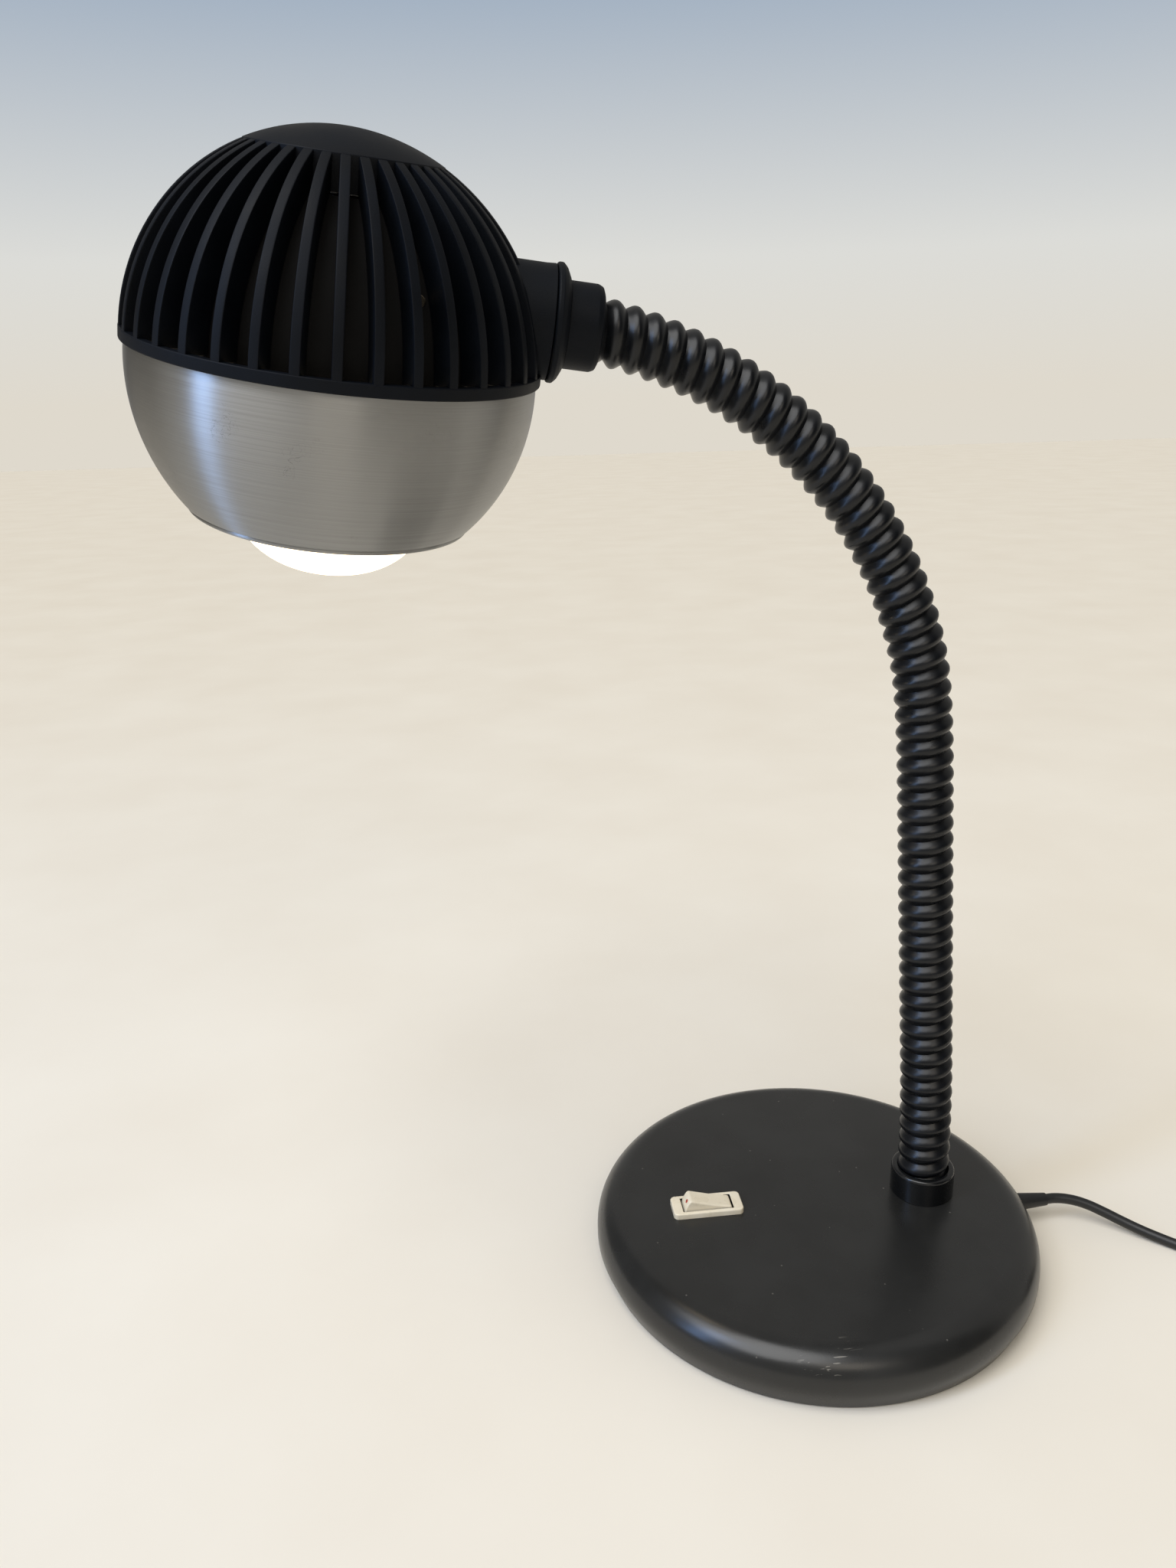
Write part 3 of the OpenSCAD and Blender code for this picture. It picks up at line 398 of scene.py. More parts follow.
def material(name):
    """An empty node material with its shader and its place in the object's frame."""
    made = bpy.data.materials.new(name)
    made.use_nodes = True
    tree = made.node_tree
    tree.nodes.clear()
    shader = add(tree, "ShaderNodeBsdfPrincipled", {})
    add(tree, "ShaderNodeOutputMaterial", {"Surface": shader.outputs["BSDF"]})
    place = add(tree, "ShaderNodeTexCoord", {})
    return made, tree, shader, place.outputs["Object"]


def per_mm(size):
    """Texture scale for a feature of a size in millimetres."""
    return 1 / (size * MM)


def ramp(tree, factor, stops):
    """A colour ramp from positions and hex colours."""
    made = add(tree, "ShaderNodeValToRGB", {"Fac": factor})
    bar = made.color_ramp.elements
    while len(bar) < len(stops):
        bar.new(0.5)
    for element, (position, colour) in zip(bar, stops):
        element.position = position
        element.color = linear(colour)
    return made.outputs["Color"]


def grained(name, colours, rough, grain, depth, metallic=0.0, patch=18.0, specular=0.5):
    """A finish with cloudy tone, uneven gloss and a fine grain; sizes in millimetres."""
    made, tree, shader, place = material(name)
    cloud = add(tree, "ShaderNodeTexNoise", {"Vector": place, "Scale": per_mm(patch), "Detail": 5.0})
    tone = ramp(tree, cloud.outputs["Fac"], ((0.32, colours[0]), (0.68, colours[1])))
    gloss = add(tree, "ShaderNodeMapRange", {
        "Value": cloud.outputs["Fac"], "From Min": 0.3, "From Max": 0.7,
        "To Min": rough[0], "To Max": rough[1]})
    fine = add(tree, "ShaderNodeTexNoise", {"Vector": place, "Scale": per_mm(grain), "Detail": 3.0})
    bump = add(tree, "ShaderNodeBump", {
        "Height": fine.outputs["Fac"], "Distance": depth * MM, "Strength": 0.6})
    tree.links.new(tone, shader.inputs["Base Color"])
    tree.links.new(gloss.outputs["Result"], shader.inputs["Roughness"])
    tree.links.new(bump.outputs["Normal"], shader.inputs["Normal"])
    shader.inputs["Metallic"].default_value = metallic
    shader.inputs["Specular IOR Level"].default_value = specular
    return made, tree, shader, place, tone


# Stoved black paint on pressed steel: soft gloss, faint orange peel, dust and a few scratches
def black_paint():
    made, tree, shader, place, tone = grained(
        "stoved_black_paint", ("#1b1b1a", "#222221"), (0.24, 0.31), 1.1, 0.012, patch=26.0)
    specks = add(tree, "ShaderNodeTexVoronoi", {"Vector": place, "Scale": per_mm(9)})
    dust = add(tree, "ShaderNodeMapRange", {
        "Value": specks.outputs["Distance"], "From Min": 0.02, "From Max": 0.05,
        "To Min": 0.3, "To Max": 0.0})
    dusted = add(tree, "ShaderNodeMix", {
        "Factor": dust.outputs["Result"], "A": tone, "B": linear("#8f8b82")}, data_type="RGBA")
    # The scratches lie in a patch on the front of the rounded edge
    centre = add(tree, "ShaderNodeVectorMath", {
        0: place, 1: tuple(c * MM for c in SCRATCH_AT)}, operation="SUBTRACT")
    squeezed = add(tree, "ShaderNodeVectorMath", {
        0: centre.outputs["Vector"], 1: tuple(per_mm(c) for c in SCRATCH_REACH)}, operation="MULTIPLY")
    reach = add(tree, "ShaderNodeVectorMath", {0: squeezed.outputs["Vector"]}, operation="LENGTH")
    patch = add(tree, "ShaderNodeMapRange", {
        "Value": reach.outputs["Value"], "From Min": 0.55, "From Max": 1.0, "To Min": 1.0, "To Max": 0.0})
    skewed = add(tree, "ShaderNodeMapping", {
        "Vector": place, "Rotation": (0.0, 0.0, 0.25), "Scale": (90.0, 900.0, 900.0)})
    streak = add(tree, "ShaderNodeTexNoise", {
        "Vector": skewed.outputs["Vector"], "Scale": 1.0, "Detail": 2.0, "Distortion": 0.6})
    line = add(tree, "ShaderNodeMapRange", {
        "Value": streak.outputs["Fac"], "From Min": 0.64, "From Max": 0.68,
        "To Min": 0.0, "To Max": 0.45})
    scratch = add(tree, "ShaderNodeMath", {
        0: line.outputs["Result"], 1: patch.outputs["Result"]}, operation="MULTIPLY")
    worn = add(tree, "ShaderNodeMix", {
        "Factor": scratch.outputs["Value"], "A": dusted.outputs["Result"], "B": linear("#a29d92")},
        data_type="RGBA")
    tree.links.new(worn.outputs["Result"], shader.inputs["Base Color"])
    return made


# Spun and brushed aluminium: fine lines round the axis draw the light out into upright bands
def brushed_aluminium():
    made, tree, shader, place = material("brushed_aluminium")
    inverse = HEAD.inverted()
    in_head = add(tree, "ShaderNodeMapping", {
        "Vector": place, "Rotation": inverse.to_euler("XYZ"), "Location": inverse.translation * MM})
    # Brush lines are about 0.2 mm apart and are drawn at 0.4 mm so that they show
    drawn = add(tree, "ShaderNodeMapping", {
        "Vector": in_head.outputs["Vector"], "Scale": (per_mm(60), per_mm(60), per_mm(0.4))})
    lines = add(tree, "ShaderNodeTexNoise", {
        "Vector": drawn.outputs["Vector"], "Scale": 1.0, "Detail": 4.0})
    tone = ramp(tree, lines.outputs["Fac"], ((0.3, "#949493"), (0.7, "#a3a3a2")))
    gloss = add(tree, "ShaderNodeMapRange", {
        "Value": lines.outputs["Fac"], "From Min": 0.3, "From Max": 0.7, "To Min": 0.36, "To Max": 0.44})
    # Handling marks: short dark nicks in a few places
    spread = add(tree, "ShaderNodeTexNoise", {"Vector": place, "Scale": per_mm(17), "Detail": 1.0})
    nick = add(tree, "ShaderNodeTexNoise", {
        "Vector": place, "Scale": per_mm(3.2), "Detail": 3.0, "Distortion": 1.4})
    edge = add(tree, "ShaderNodeMath", {0: nick.outputs["Fac"], 1: 0.5, 2: 0.006}, operation="COMPARE")
    where = add(tree, "ShaderNodeMapRange", {
        "Value": spread.outputs["Fac"], "From Min": 0.63, "From Max": 0.7, "To Min": 0.0, "To Max": 0.5})
    mark = add(tree, "ShaderNodeMath", {
        0: edge.outputs["Value"], 1: where.outputs["Result"]}, operation="MULTIPLY")
    marked = add(tree, "ShaderNodeMix", {
        "Factor": mark.outputs["Value"], "A": tone, "B": linear("#4a4845")}, data_type="RGBA")
    bump = add(tree, "ShaderNodeBump", {
        "Height": lines.outputs["Fac"], "Distance": 0.01 * MM, "Strength": 0.25})
    around = add(tree, "ShaderNodeTangent", {}, direction_type="UV_MAP", uv_map="round")
    tree.links.new(marked.outputs["Result"], shader.inputs["Base Color"])
    tree.links.new(gloss.outputs["Result"], shader.inputs["Roughness"])
    tree.links.new(bump.outputs["Normal"], shader.inputs["Normal"])
    tree.links.new(around.outputs["Tangent"], shader.inputs["Tangent"])
    shader.inputs["Metallic"].default_value = 1.0
    shader.inputs["Anisotropic"].default_value = 1.0
    shader.inputs["Anisotropic Rotation"].default_value = 0.25
    return made


# Frosted glass bulb, lit: a warm white that is even all over
def lit_glass():
    made, _, shader = grained("lit_frosted_glass", ("#f6ecd6", "#fdf6e6"), (0.5, 0.6), 0.8, 0.01)[:3]
    shader.inputs["Emission Color"].default_value = linear("#ffe9c4")
    shader.inputs["Emission Strength"].default_value = 2.6
    return made


PAINT = black_paint()
ALUMINIUM = brushed_aluminium()
LIT_GLASS = lit_glass()
# Moulded plastics: grained dome, glossy collar, soft PVC sleeve and cord, aged cream switch
GRAINED_BLACK = grained(
    "moulded_black_grain", ("#03060c", "#060b13"), (0.5, 0.62), 0.55, 0.05, specular=0.14)[0]
GLOSS_BLACK = grained("moulded_black_gloss", ("#0d0e0f", "#141516"), (0.14, 0.22), 2.0, 0.006)[0]
SLEEVE_PVC = grained(
    "soft_black_pvc", ("#07090c", "#0d0f13"), (0.26, 0.36), 1.4, 0.012, patch=9.0, specular=0.35)[0]
CORD_PVC = grained("cord_black_pvc", ("#131313", "#1a1a1a"), (0.4, 0.5), 0.8, 0.01)[0]
CREAM = grained("aged_cream_abs", ("#dfd3b8", "#e8dec7"), (0.24, 0.34), 1.5, 0.006, patch=8.0)[0]
RED_MARK = grained("red_switch_mark", ("#9c3b2c", "#b0493a"), (0.4, 0.5), 0.6, 0.006, patch=2.0)[0]
HOLDER_BLACK = grained("thermoset_black", ("#171615", "#201f1d"), (0.4, 0.5), 0.9, 0.02)[0]
PAD_RUBBER = grained("pad_rubber", ("#171717", "#1f1f1e"), (0.75, 0.85), 0.7, 0.04)[0]
TIE_PLASTIC = grained("tie_grey_plastic", ("#2a2a2c", "#333336"), (0.4, 0.5), 0.9, 0.02)[0]
CLAMP_NYLON = grained("clamp_nylon", ("#d3cfc2", "#dedacd"), (0.4, 0.5), 1.0, 0.02)[0]
LEAD_PVC = grained("lead_brown_pvc", ("#6a3122", "#7a3a2a"), (0.4, 0.5), 0.8, 0.01)[0]
# Metals inside and below: zinc plate, brass, cast iron, tin, nickel
ZINC = grained(
    "zinc_plated_steel", ("#a3a6aa", "#b7b9bc"), (0.32, 0.42), 0.9, 0.01, metallic=1.0, patch=6.0)[0]
BRASS = grained(
    "turned_brass", ("#b08d4c", "#c6a462"), (0.28, 0.38), 0.8, 0.008, metallic=1.0, patch=6.0)[0]
IRON = grained(
    "cast_iron", ("#3b3a39", "#4a4947"), (0.6, 0.75), 1.2, 0.12, metallic=0.6, patch=9.0)[0]
# The heat shield's tin is near black and matte all over; this dark shows through the slots between the
# fins.
DARK_TIN = grained(
    "near_black_tin", ("#060607", "#0b0b0c"), (0.7, 0.8), 1.2, 0.02, patch=9.0, specular=0.2)[0]
NICKEL = grained(
    "nickel_plate", ("#b9b7b2", "#c9c7c2"), (0.16, 0.24), 0.8, 0.005, metallic=1.0, patch=5.0)[0]
CORE_STEEL = grained(
    "drawn_steel", ("#808286", "#94969a"), (0.35, 0.45), 0.9, 0.01, metallic=1.0, patch=6.0)[0]


# Cord: one line from the relief through its coil to the plug
def coil_point(a):
    """A place on the coil after a turn by an angle: in and out layer by layer, going up."""
    span = COIL_TURNS * 2 * math.pi
    layer = min(int(a / span), COIL_LAYERS - 1)
    share = a / span - layer
    way = share if layer % 2 == 0 else 1 - share
    radius = COIL_R - COIL_STEP * COIL_TURNS * way
    climbs = [max(0, min(1, (a - j * span + math.pi / 2) / math.pi)) for j in range(1, COIL_LAYERS)]
    height = COIL_Z + COIL_STEP * sum(climbs)
    return (COIL_AT[0] + radius * math.sin(a), COIL_AT[1] - radius * math.cos(a), height)


def cord_route():
    """The cord's middle line: the free stretch, the coil and the tail to the plug."""
    free = [
        (RELIEF_END, 0, CORD_Z), (RELIEF_END + 4, 0, CORD_Z), (113, -1.3, 9.7), (119, -3.8, 8.7),
        (125, -7.6, 7), (131, -12, 5.1), (137, -16.8, 3.6), (143, -21.8, 2.7), (149, -27, 2.2),
        (155, -33, CORD_R), (161.3, -39.6, CORD_R), (168.3, -46.3, CORD_R), (176, -52.3, 2.2),
        (184, -56.8, 2.5), (191, -59.4, 2.8),
        (COIL_AT[0] - 2 * CORD_R - 3, COIL_ENTRY, COIL_Z), (COIL_AT[0] - 2 * CORD_R, COIL_ENTRY, COIL_Z)]
    count = int(COIL_LAYERS * COIL_TURNS * COIL_RINGS)
    coil = [coil_point(k * 2 * math.pi / COIL_RINGS) for k in range(count + 1)]
    leave = COIL_AT[1] + 2 * CORD_R
    tail = [
        (PLUG_X, leave, COIL_TOP), (PLUG_X, leave + 3, COIL_TOP), (PLUG_X, -15, 16.3), (PLUG_X, -6, 14.2),
        (PLUG_X, 3, 11.5), (PLUG_X, 12, 9), (PLUG_X, 19, 7.4), (PLUG_X, PLUG_START - 3, PLUG_Z),
        (PLUG_X, PLUG_START, PLUG_Z)]
    return free + coil + tail


def curve_through(name, points, depth):
    """A round curve on smooth handles through points in millimetres."""
    data = bpy.data.curves.new(name, "CURVE")
    data.dimensions = "3D"
    data.bevel_depth = depth * MM
    data.bevel_resolution = 5
    data.resolution_u = 5
    line = data.splines.new("BEZIER")
    line.bezier_points.add(len(points) - 1)
    for knot, point in zip(line.bezier_points, points):
        knot.co = Vector(point) * MM
        knot.handle_left_type = "AUTO"
        knot.handle_right_type = "AUTO"
    made = bpy.data.objects.new(name, data)
    bpy.context.scene.collection.objects.link(made)
    return made


mains_cord = curve_through("mains_cord", cord_route(), CORD_R)
mains_cord.data.use_fill_caps = True
fit_out(mains_cord, CORD_PVC, "base", "cord_black", "cord_free", "cord_coil", "cord_tail")


def plug():
    """A flat two-pin plug: a waisted body and a ringed relief."""
    half_back = 6.0
    half = 13.0
    side = PLUG_FACE - 10
    body = sawn("plug_grip", (
        (-half_back, PLUG_BACK), (half_back, PLUG_BACK), (half, side), (half, PLUG_FACE),
        (-half, PLUG_FACE), (-half, side), (-half_back, PLUG_BACK)), 2 * PLUG_Z)
    soften(body, 2.2, 5)
    move_mesh(body, turn(-90, "X"))
    ring_pitch = 2.6
    ring_growth = 0.36
    ring_groove = 0.45
    relief_root = 5.0
    relief_end = PLUG_BACK - PLUG_START + 1
    rings = [(CORD_R, 0), (CORD_R + 0.9, 0)]
    for k in range(5):
        low = 0.6 + k * ring_pitch
        radius = CORD_R + 1.0 + ring_growth * k
        rings += [(radius, low), (radius, low + 1.5)]
        rings += [(radius - ring_groove, low + 1.8), (radius - 0.4, low + 2.3)]
    rings += [(relief_root, relief_end), (CORD_R, relief_end), (CORD_R, 0)]
    relief = turned("plug_relief", rings, 40)
    soften(relief, 0.2, 2)
    move_mesh(relief, shift(0, PLUG_START, 0) @ turn(-90, "X"))
    whole = join("plug_grip", [body, relief])
    move_mesh(whole, shift(PLUG_X, 0, PLUG_Z))
    return whole


def tie():
    """A flat band round the bundle of turns, as a bent strip with rounded corners."""
    slack = 0.3
    corner = 2.0
    wall = 0.6
    width = 7.0
    heading = 150
    inner = COIL_R - COIL_STEP * COIL_TURNS - CORD_R - slack
    outer = COIL_R + CORD_R + slack
    high = COIL_TOP + CORD_R + slack
    low_in = inner - wall / 2
    low_out = outer + wall / 2
    path = arc(corner, 270, 180, 4, low_in + corner, wall / 2 + corner)
    path += arc(corner, 180, 90, 4, low_in + corner, high + wall / 2 - corner)
    path += arc(corner, 90, 0, 4, low_out - corner, high + wall / 2 - corner)
    path += arc(corner, 0, -90, 4, low_out - corner, wall / 2 + corner)
    band = outline("tie_band", path + path[:1])
    bpy.ops.transform.translate(value=(0, -width / 2 * MM, 0))
    bpy.ops.mesh.extrude_region_move(TRANSFORM_OT_translate={"value": (0, width * MM, 0)})
    close_mesh()
    apply_modifier(band, "SOLIDIFY", thickness=wall * MM, offset=0.0)
    smooth(band)
    move_mesh(band, shift(COIL_AT[0], COIL_AT[1], 0) @ turn(heading, "Z"))
    return band


plug_grip = fit_out(plug(), GLOSS_BLACK, "base", "black_gloss", "plug_body")
tie_band = fit_out(tie(), TIE_PLASTIC, "base", "tie_grey", "cord_tie")


# Base
def base_profile(wall):
    """The base's outline from its foot to its middle, drawn in by a wall."""
    top = BASE_H - wall
    side = BASE_R - wall
    bend = BASE_ROUND - wall
    return [(BASE_R - BASE_TAPER - wall, SHELL_LIFT), (side, SIDE_Z)] + arc(
        bend, 0, 90, 14, side - bend, top - bend) + [(0, top)]


def base_cover():
    """The pressed cover, cut for the switch, the neck's nipple and the cord."""
    outer = base_profile(0)
    inner = base_profile(BASE_WALL)
    cover = turned("base_cover", outer + inner[::-1] + outer[:1], 144)
    bpy.ops.mesh.primitive_cube_add(size=1, location=(SWITCH_X * MM, 0, BASE_H * MM))
    slot_tool = bpy.context.object
    body_l = BEZEL_L - 2 * BEZEL_LIP
    body_w = BEZEL_W - 2 * BEZEL_LIP
    slot_tool.scale = (body_l * MM, body_w * MM, 4 * BASE_WALL * MM)
    cut(cover, slot_tool)
    bpy.ops.mesh.primitive_cylinder_add(
        vertices=48, radius=NIPPLE_R * MM, depth=0.02, location=(NECK_X * MM, 0, BASE_H * MM))
    cut(cover, bpy.context.object)
    bpy.ops.mesh.primitive_cylinder_add(
        vertices=48, radius=RELIEF_R * MM, depth=0.03, location=(BASE_R * MM, 0, CORD_Z * MM),
        rotation=(0, math.pi / 2, 0))
    cut(cover, bpy.context.object)
    smooth(cover, 30)
    return cover


def bezel():
    """The switch's frame: a plate with round corners, its opening sunk and its body drawn down."""
    half_l = BEZEL_L / 2 - BEZEL_CORNER
    half_w = BEZEL_W / 2 - BEZEL_CORNER
    path = arc(BEZEL_CORNER, 0, 90, 6, half_l, half_w)
    path += arc(BEZEL_CORNER, 90, 180, 6, -half_l, half_w)
    path += arc(BEZEL_CORNER, 180, 270, 6, -half_l, -half_w)
    path += arc(BEZEL_CORNER, 270, 360, 6, half_l, -half_w)
    piece = sawn("switch_bezel", path + path[:1], BEZEL_H - BEZEL_EDGE)
    move_mesh(piece, shift(0, 0, -BEZEL_EDGE / 2) @ turn(90, "X"))
    choose_face(piece, 1)
    bend = arc(BEZEL_EDGE, 0, 90, 4)
    for a, b in zip(bend, bend[1:]):
        bpy.ops.mesh.inset(thickness=(a[0] - b[0]) * MM, depth=(b[1] - a[1]) * MM)
    bpy.ops.mesh.inset(thickness=(BEZEL_RIM - BEZEL_EDGE - WELL_EDGE) * MM)
    inset_half = BEZEL_L / 2 - BEZEL_RIM + WELL_EDGE
    well_half = BEZEL_L / 2 - BEZEL_END + WELL_EDGE
    bpy.ops.transform.resize(value=(well_half / inset_half, 1, 1))
    bpy.ops.mesh.inset(thickness=WELL_EDGE * MM, depth=-WELL_EDGE * MM)
    drop = CAVITY + BEZEL_H - WELL_EDGE
    bpy.ops.mesh.extrude_region_move(TRANSFORM_OT_translate={"value": (0, 0, -drop * MM)})
    choose_face(piece, -1)
    bpy.ops.mesh.inset(thickness=BEZEL_LIP * MM)
    bpy.ops.mesh.extrude_region_move(TRANSFORM_OT_translate={"value": (0, 0, -SWITCH_DEPTH * MM)})
    close_mesh()
    smooth(piece, 40)
    move_mesh(piece, shift(SWITCH_X, 0, BASE_H + BEZEL_H / 2))
    return piece


def choose_face(piece, side):
    """Selects the widest level face on one side, in edit mode."""
    bpy.ops.object.mode_set(mode="OBJECT")
    mesh = piece.data
    for part in (mesh.vertices, mesh.edges, mesh.polygons):
        for item in part:
            item.select = False
    level = [f for f in mesh.polygons if f.normal.z * side > 0.9]
    widest = max(level, key=lambda face: face.area)
    widest.select = True
    bpy.ops.object.mode_set(mode="EDIT")
    bpy.ops.mesh.select_mode(type="FACE")


def paint_well_shade(piece):
    """Paints the walls and the floor of the switch's opening in dark thermoset, as painted shade."""
    piece.data.materials.append(HOLDER_BLACK)
    half_l = (BEZEL_L / 2 - BEZEL_END + ROCKER_CLEAR) * MM
    half_w = (BEZEL_W / 2 - BEZEL_RIM + ROCKER_CLEAR) * MM
    rim_low = (BASE_H + BEZEL_H - BEZEL_EDGE) * MM
    # Faces inside the well take the dark material: painted shade in place of the bezel's own cream.
    for face in piece.data.polygons:
        x, y, z = face.center
        if abs(x - SWITCH_X * MM) < half_l and abs(y) < half_w and z < rim_low:
            face.material_index = 1


def rocker():
    """The rocker: two flats that meet in a shallow trough, with round ends about its pins."""
    width = BEZEL_W - 2 * BEZEL_RIM - 2 * ROCKER_SEEN_GAP
    radius = ROCKER_L / 2
    trough = BASE_H + BEZEL_H - PIVOT_Z + ROCKER_PROUD
    slope = math.tan(math.radians(ROCKER_DIP))
    low = math.degrees(math.asin(-ROCKER_SKIRT / radius))
    flat_end = trough + slope * math.sqrt(radius ** 2 - trough ** 2)
    high = math.degrees(math.asin(flat_end / radius))
    right = arc(radius, low, high, 8)
    left = [(-x, z) for x, z in right[::-1]]
    points = right + [(0, trough)] + left + right[:1]
    piece = sawn("switch_rocker_cap", points, width)
    soften(piece, ROCKER_EDGE, 4, 20)
    move_mesh(piece, shift(SWITCH_X, 0, PIVOT_Z) @ turn(ROCKER_TILT, "Y"))
    return piece


def rocker_mark():
    """A small painted dot on the raised end of the rocker."""
    dot = turned("rocker_mark", [(0, 0), (0.8, 0), (0.8, 0.1), (0.55, 0.22), (0, 0.24)], 24)
    smooth(dot, 60)
    rise = MARK_RISE * ROCKER_L / 2
    out = math.sqrt((ROCKER_L / 2) ** 2 - rise ** 2)
    lean = math.degrees(math.atan2(rise, out))
    here = shift(MARK_SINK - out, -MARK_ASIDE, rise) @ turn(-90 + lean, "Y")
    move_mesh(dot, shift(SWITCH_X, 0, PIVOT_Z) @ turn(ROCKER_TILT, "Y") @ here)
    return dot


def cup(name, radius, height, rim):
    """A round cup for an end of the neck, with a hole in its floor."""
    piece = turned(name, [
        (NIPPLE_R, 0), (radius, 0), (radius, height - rim), (radius - 0.3 * rim, height - 0.3 * rim),
        (radius - rim, height), (CUP_BORE, height), (CUP_BORE, CUP_FLOOR), (NIPPLE_R, CUP_FLOOR),
        (NIPPLE_R, 0)])
    soften(piece, 0.3, 3, 20)
    return piece


def cord_relief():
    """The strain relief: a flange inside the shell and a smooth tail that tapers to the cord."""
    face = BASE_R + 1 - RELIEF_START
    end = RELIEF_END - RELIEF_START
    piece = turned("cord_relief_tail", [
        (CORD_R, 0), (RELIEF_FLANGE_R, 0), (RELIEF_FLANGE_R, RELIEF_FLANGE_T), (RELIEF_R, RELIEF_FLANGE_T),
        (RELIEF_R, face), (RELIEF_TIP, end - 0.2), (RELIEF_TIP - 0.2, end), (CORD_R, end), (CORD_R, 0)], 48)
    soften(piece, 0.15, 2, 25)
    move_mesh(piece, shift(RELIEF_START, 0, CORD_Z) @ turn(90, "Y"))
    return piece


fit_out(base_cover(), PAINT, "base", "black_paint", "base_shell")
paint_well_shade(fit_out(bezel(), CREAM, "base", "switch_cream", "switch_body"))
fit_out(rocker(), CREAM, "rocker", "rocker_cream", "switch_rocker")
fit_out(rocker_mark(), RED_MARK, "rocker", "rocker_cream")
fit_out(cord_relief(), CORD_PVC, "base", "cord_black", "cord_relief")
collar = cup("neck_collar_cup", COLLAR_R, COLLAR_H, COLLAR_RIM)
move_mesh(collar, shift(NECK_X, 0, BASE_H))
fit_out(collar, GLOSS_BLACK, "base", "black_gloss", "neck_collar")


# Neck sleeve: a helical rib on a straight tube, bent along the neck and cut between the joints
def sleeve_path():
    """A smooth curve that touches each straight run at its middle."""
    first = RUNS[0][1] + RUNS[0][2] * (CUP_FLOOR + SLEEVE_SEAT)
    knots = [(first, RUNS[0][2], 2 / 3 * (RUNS[0][3] - CUP_FLOOR))]
    for segment, at, way, length in RUNS[1:-1]:
        knots.append((at + way * length / 2, way, length / 3))
    knots.append((LAST_KNEE + LAST_WAY * SLEEVE_END, LAST_WAY, SLEEVE_END * 2 / 3))
    data = bpy.data.curves.new("sleeve_path", "CURVE")
    data.dimensions = "3D"
    data.resolution_u = 24
    data.twist_mode = "MINIMUM"
    line = data.splines.new("BEZIER")
    line.bezier_points.add(len(knots) - 1)
    for knot, (point, way, handle) in zip(line.bezier_points, knots):
        knot.handle_left_type = "FREE"
        knot.handle_right_type = "FREE"
        knot.co = (NECK @ point) * MM
        knot.handle_left = (NECK @ (point - way * handle)) * MM
        knot.handle_right = (NECK @ (point + way * handle)) * MM
    made = bpy.data.objects.new("sleeve_path", data)
    bpy.context.scene.collection.objects.link(made)
    return made, line.calc_length()


def straight_sleeve(length):
    """One rib's outline, screwed up to a tube with one right-handed rib."""
    steps = 12
    around = 40
    points = []
    for k in range(steps + 1):
        share = k / steps
        swell = math.sin(math.pi * share) ** RIB_SHARPNESS if 0 < k < steps else 0
        points.append((VALLEY_R + (RIB_R - VALLEY_R) * swell, share * RIB_PITCH - RIB_PITCH))
    piece = outline("neck_sleeve", points)
    bpy.ops.object.mode_set(mode="OBJECT")
    turns = math.ceil(length / MM / RIB_PITCH) + 2
    apply_modifier(
        piece, "SCREW", angle=2 * math.pi, screw_offset=RIB_PITCH * MM, iterations=turns,
        steps=around, render_steps=around, axis="Z", use_smooth_shade=True)
    bpy.ops.object.mode_set(mode="EDIT")
    bpy.ops.mesh.select_all(action="SELECT")
    bpy.ops.mesh.remove_doubles(threshold=MERGE)
    bpy.ops.mesh.bisect(plane_co=(0, 0, 0), plane_no=Z_AXIS, clear_inner=True)
    bpy.ops.mesh.select_all(action="SELECT")
    bpy.ops.mesh.bisect(plane_co=(0, 0, length), plane_no=Z_AXIS, clear_outer=True)
    close_mesh()
    return piece


def cut_plane(segment):
    """A point and a heading halfway along a neck segment, in metres."""
    own = [run for run in RUNS if run[0] == segment]
    middle = own[0][1] + own[0][2] * own[0][3] / 2
    way = own[0][2]
    if len(own) > 1:
        middle = own[1][1]
        way = (own[0][2] + own[1][2]).normalized()
    return (NECK @ middle) * MM, (NECK.to_3x3() @ way)


def sleeve_pieces():
    """The bent sleeve, cut halfway along each segment into one piece for each joint."""
    path, length = sleeve_path()
    whole = straight_sleeve(length)
    apply_modifier(whole, "CURVE", object=path, deform_axis="POS_Z")
    bpy.data.objects.remove(path)
    count = len(RIB_RUNS) - 1
    made = []
    for joint in range(1, count + 1):
        piece = whole.copy()
        piece.data = whole.data.copy()
        piece.name = "neck_sleeve_run_%d" % joint
        bpy.context.scene.collection.objects.link(piece)
        bpy.ops.object.select_all(action="DESELECT")
        bpy.context.view_layer.objects.active = piece
        piece.select_set(True)
        bpy.ops.object.mode_set(mode="EDIT")
        low, low_way = cut_plane(joint - 1)
        high, high_way = cut_plane(joint)
        if joint > 1:
            bpy.ops.mesh.select_all(action="SELECT")
            bpy.ops.mesh.bisect(plane_co=low, plane_no=low_way, clear_inner=True)
        if joint < count:
            bpy.ops.mesh.select_all(action="SELECT")
            bpy.ops.mesh.bisect(plane_co=high, plane_no=high_way, clear_outer=True)
        bpy.ops.object.mode_set(mode="OBJECT")
        apply_modifier(piece, "SOLIDIFY", thickness=SLEEVE_WALL * MM, offset=-1.0)
        smooth(piece, 60)
        piece.data.materials.clear()
        piece.data.materials.append(SLEEVE_PVC)
        made.append((joint, piece, low, high))
    bpy.data.objects.remove(whole)
    return made


for joint, piece, low, high in sleeve_pieces():
    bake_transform(piece)
    stood_for = ["neck_sleeve_%d" % joint]
    if joint == 1:
        stood_for.append("neck_sleeve_0")
    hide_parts(*stood_for)

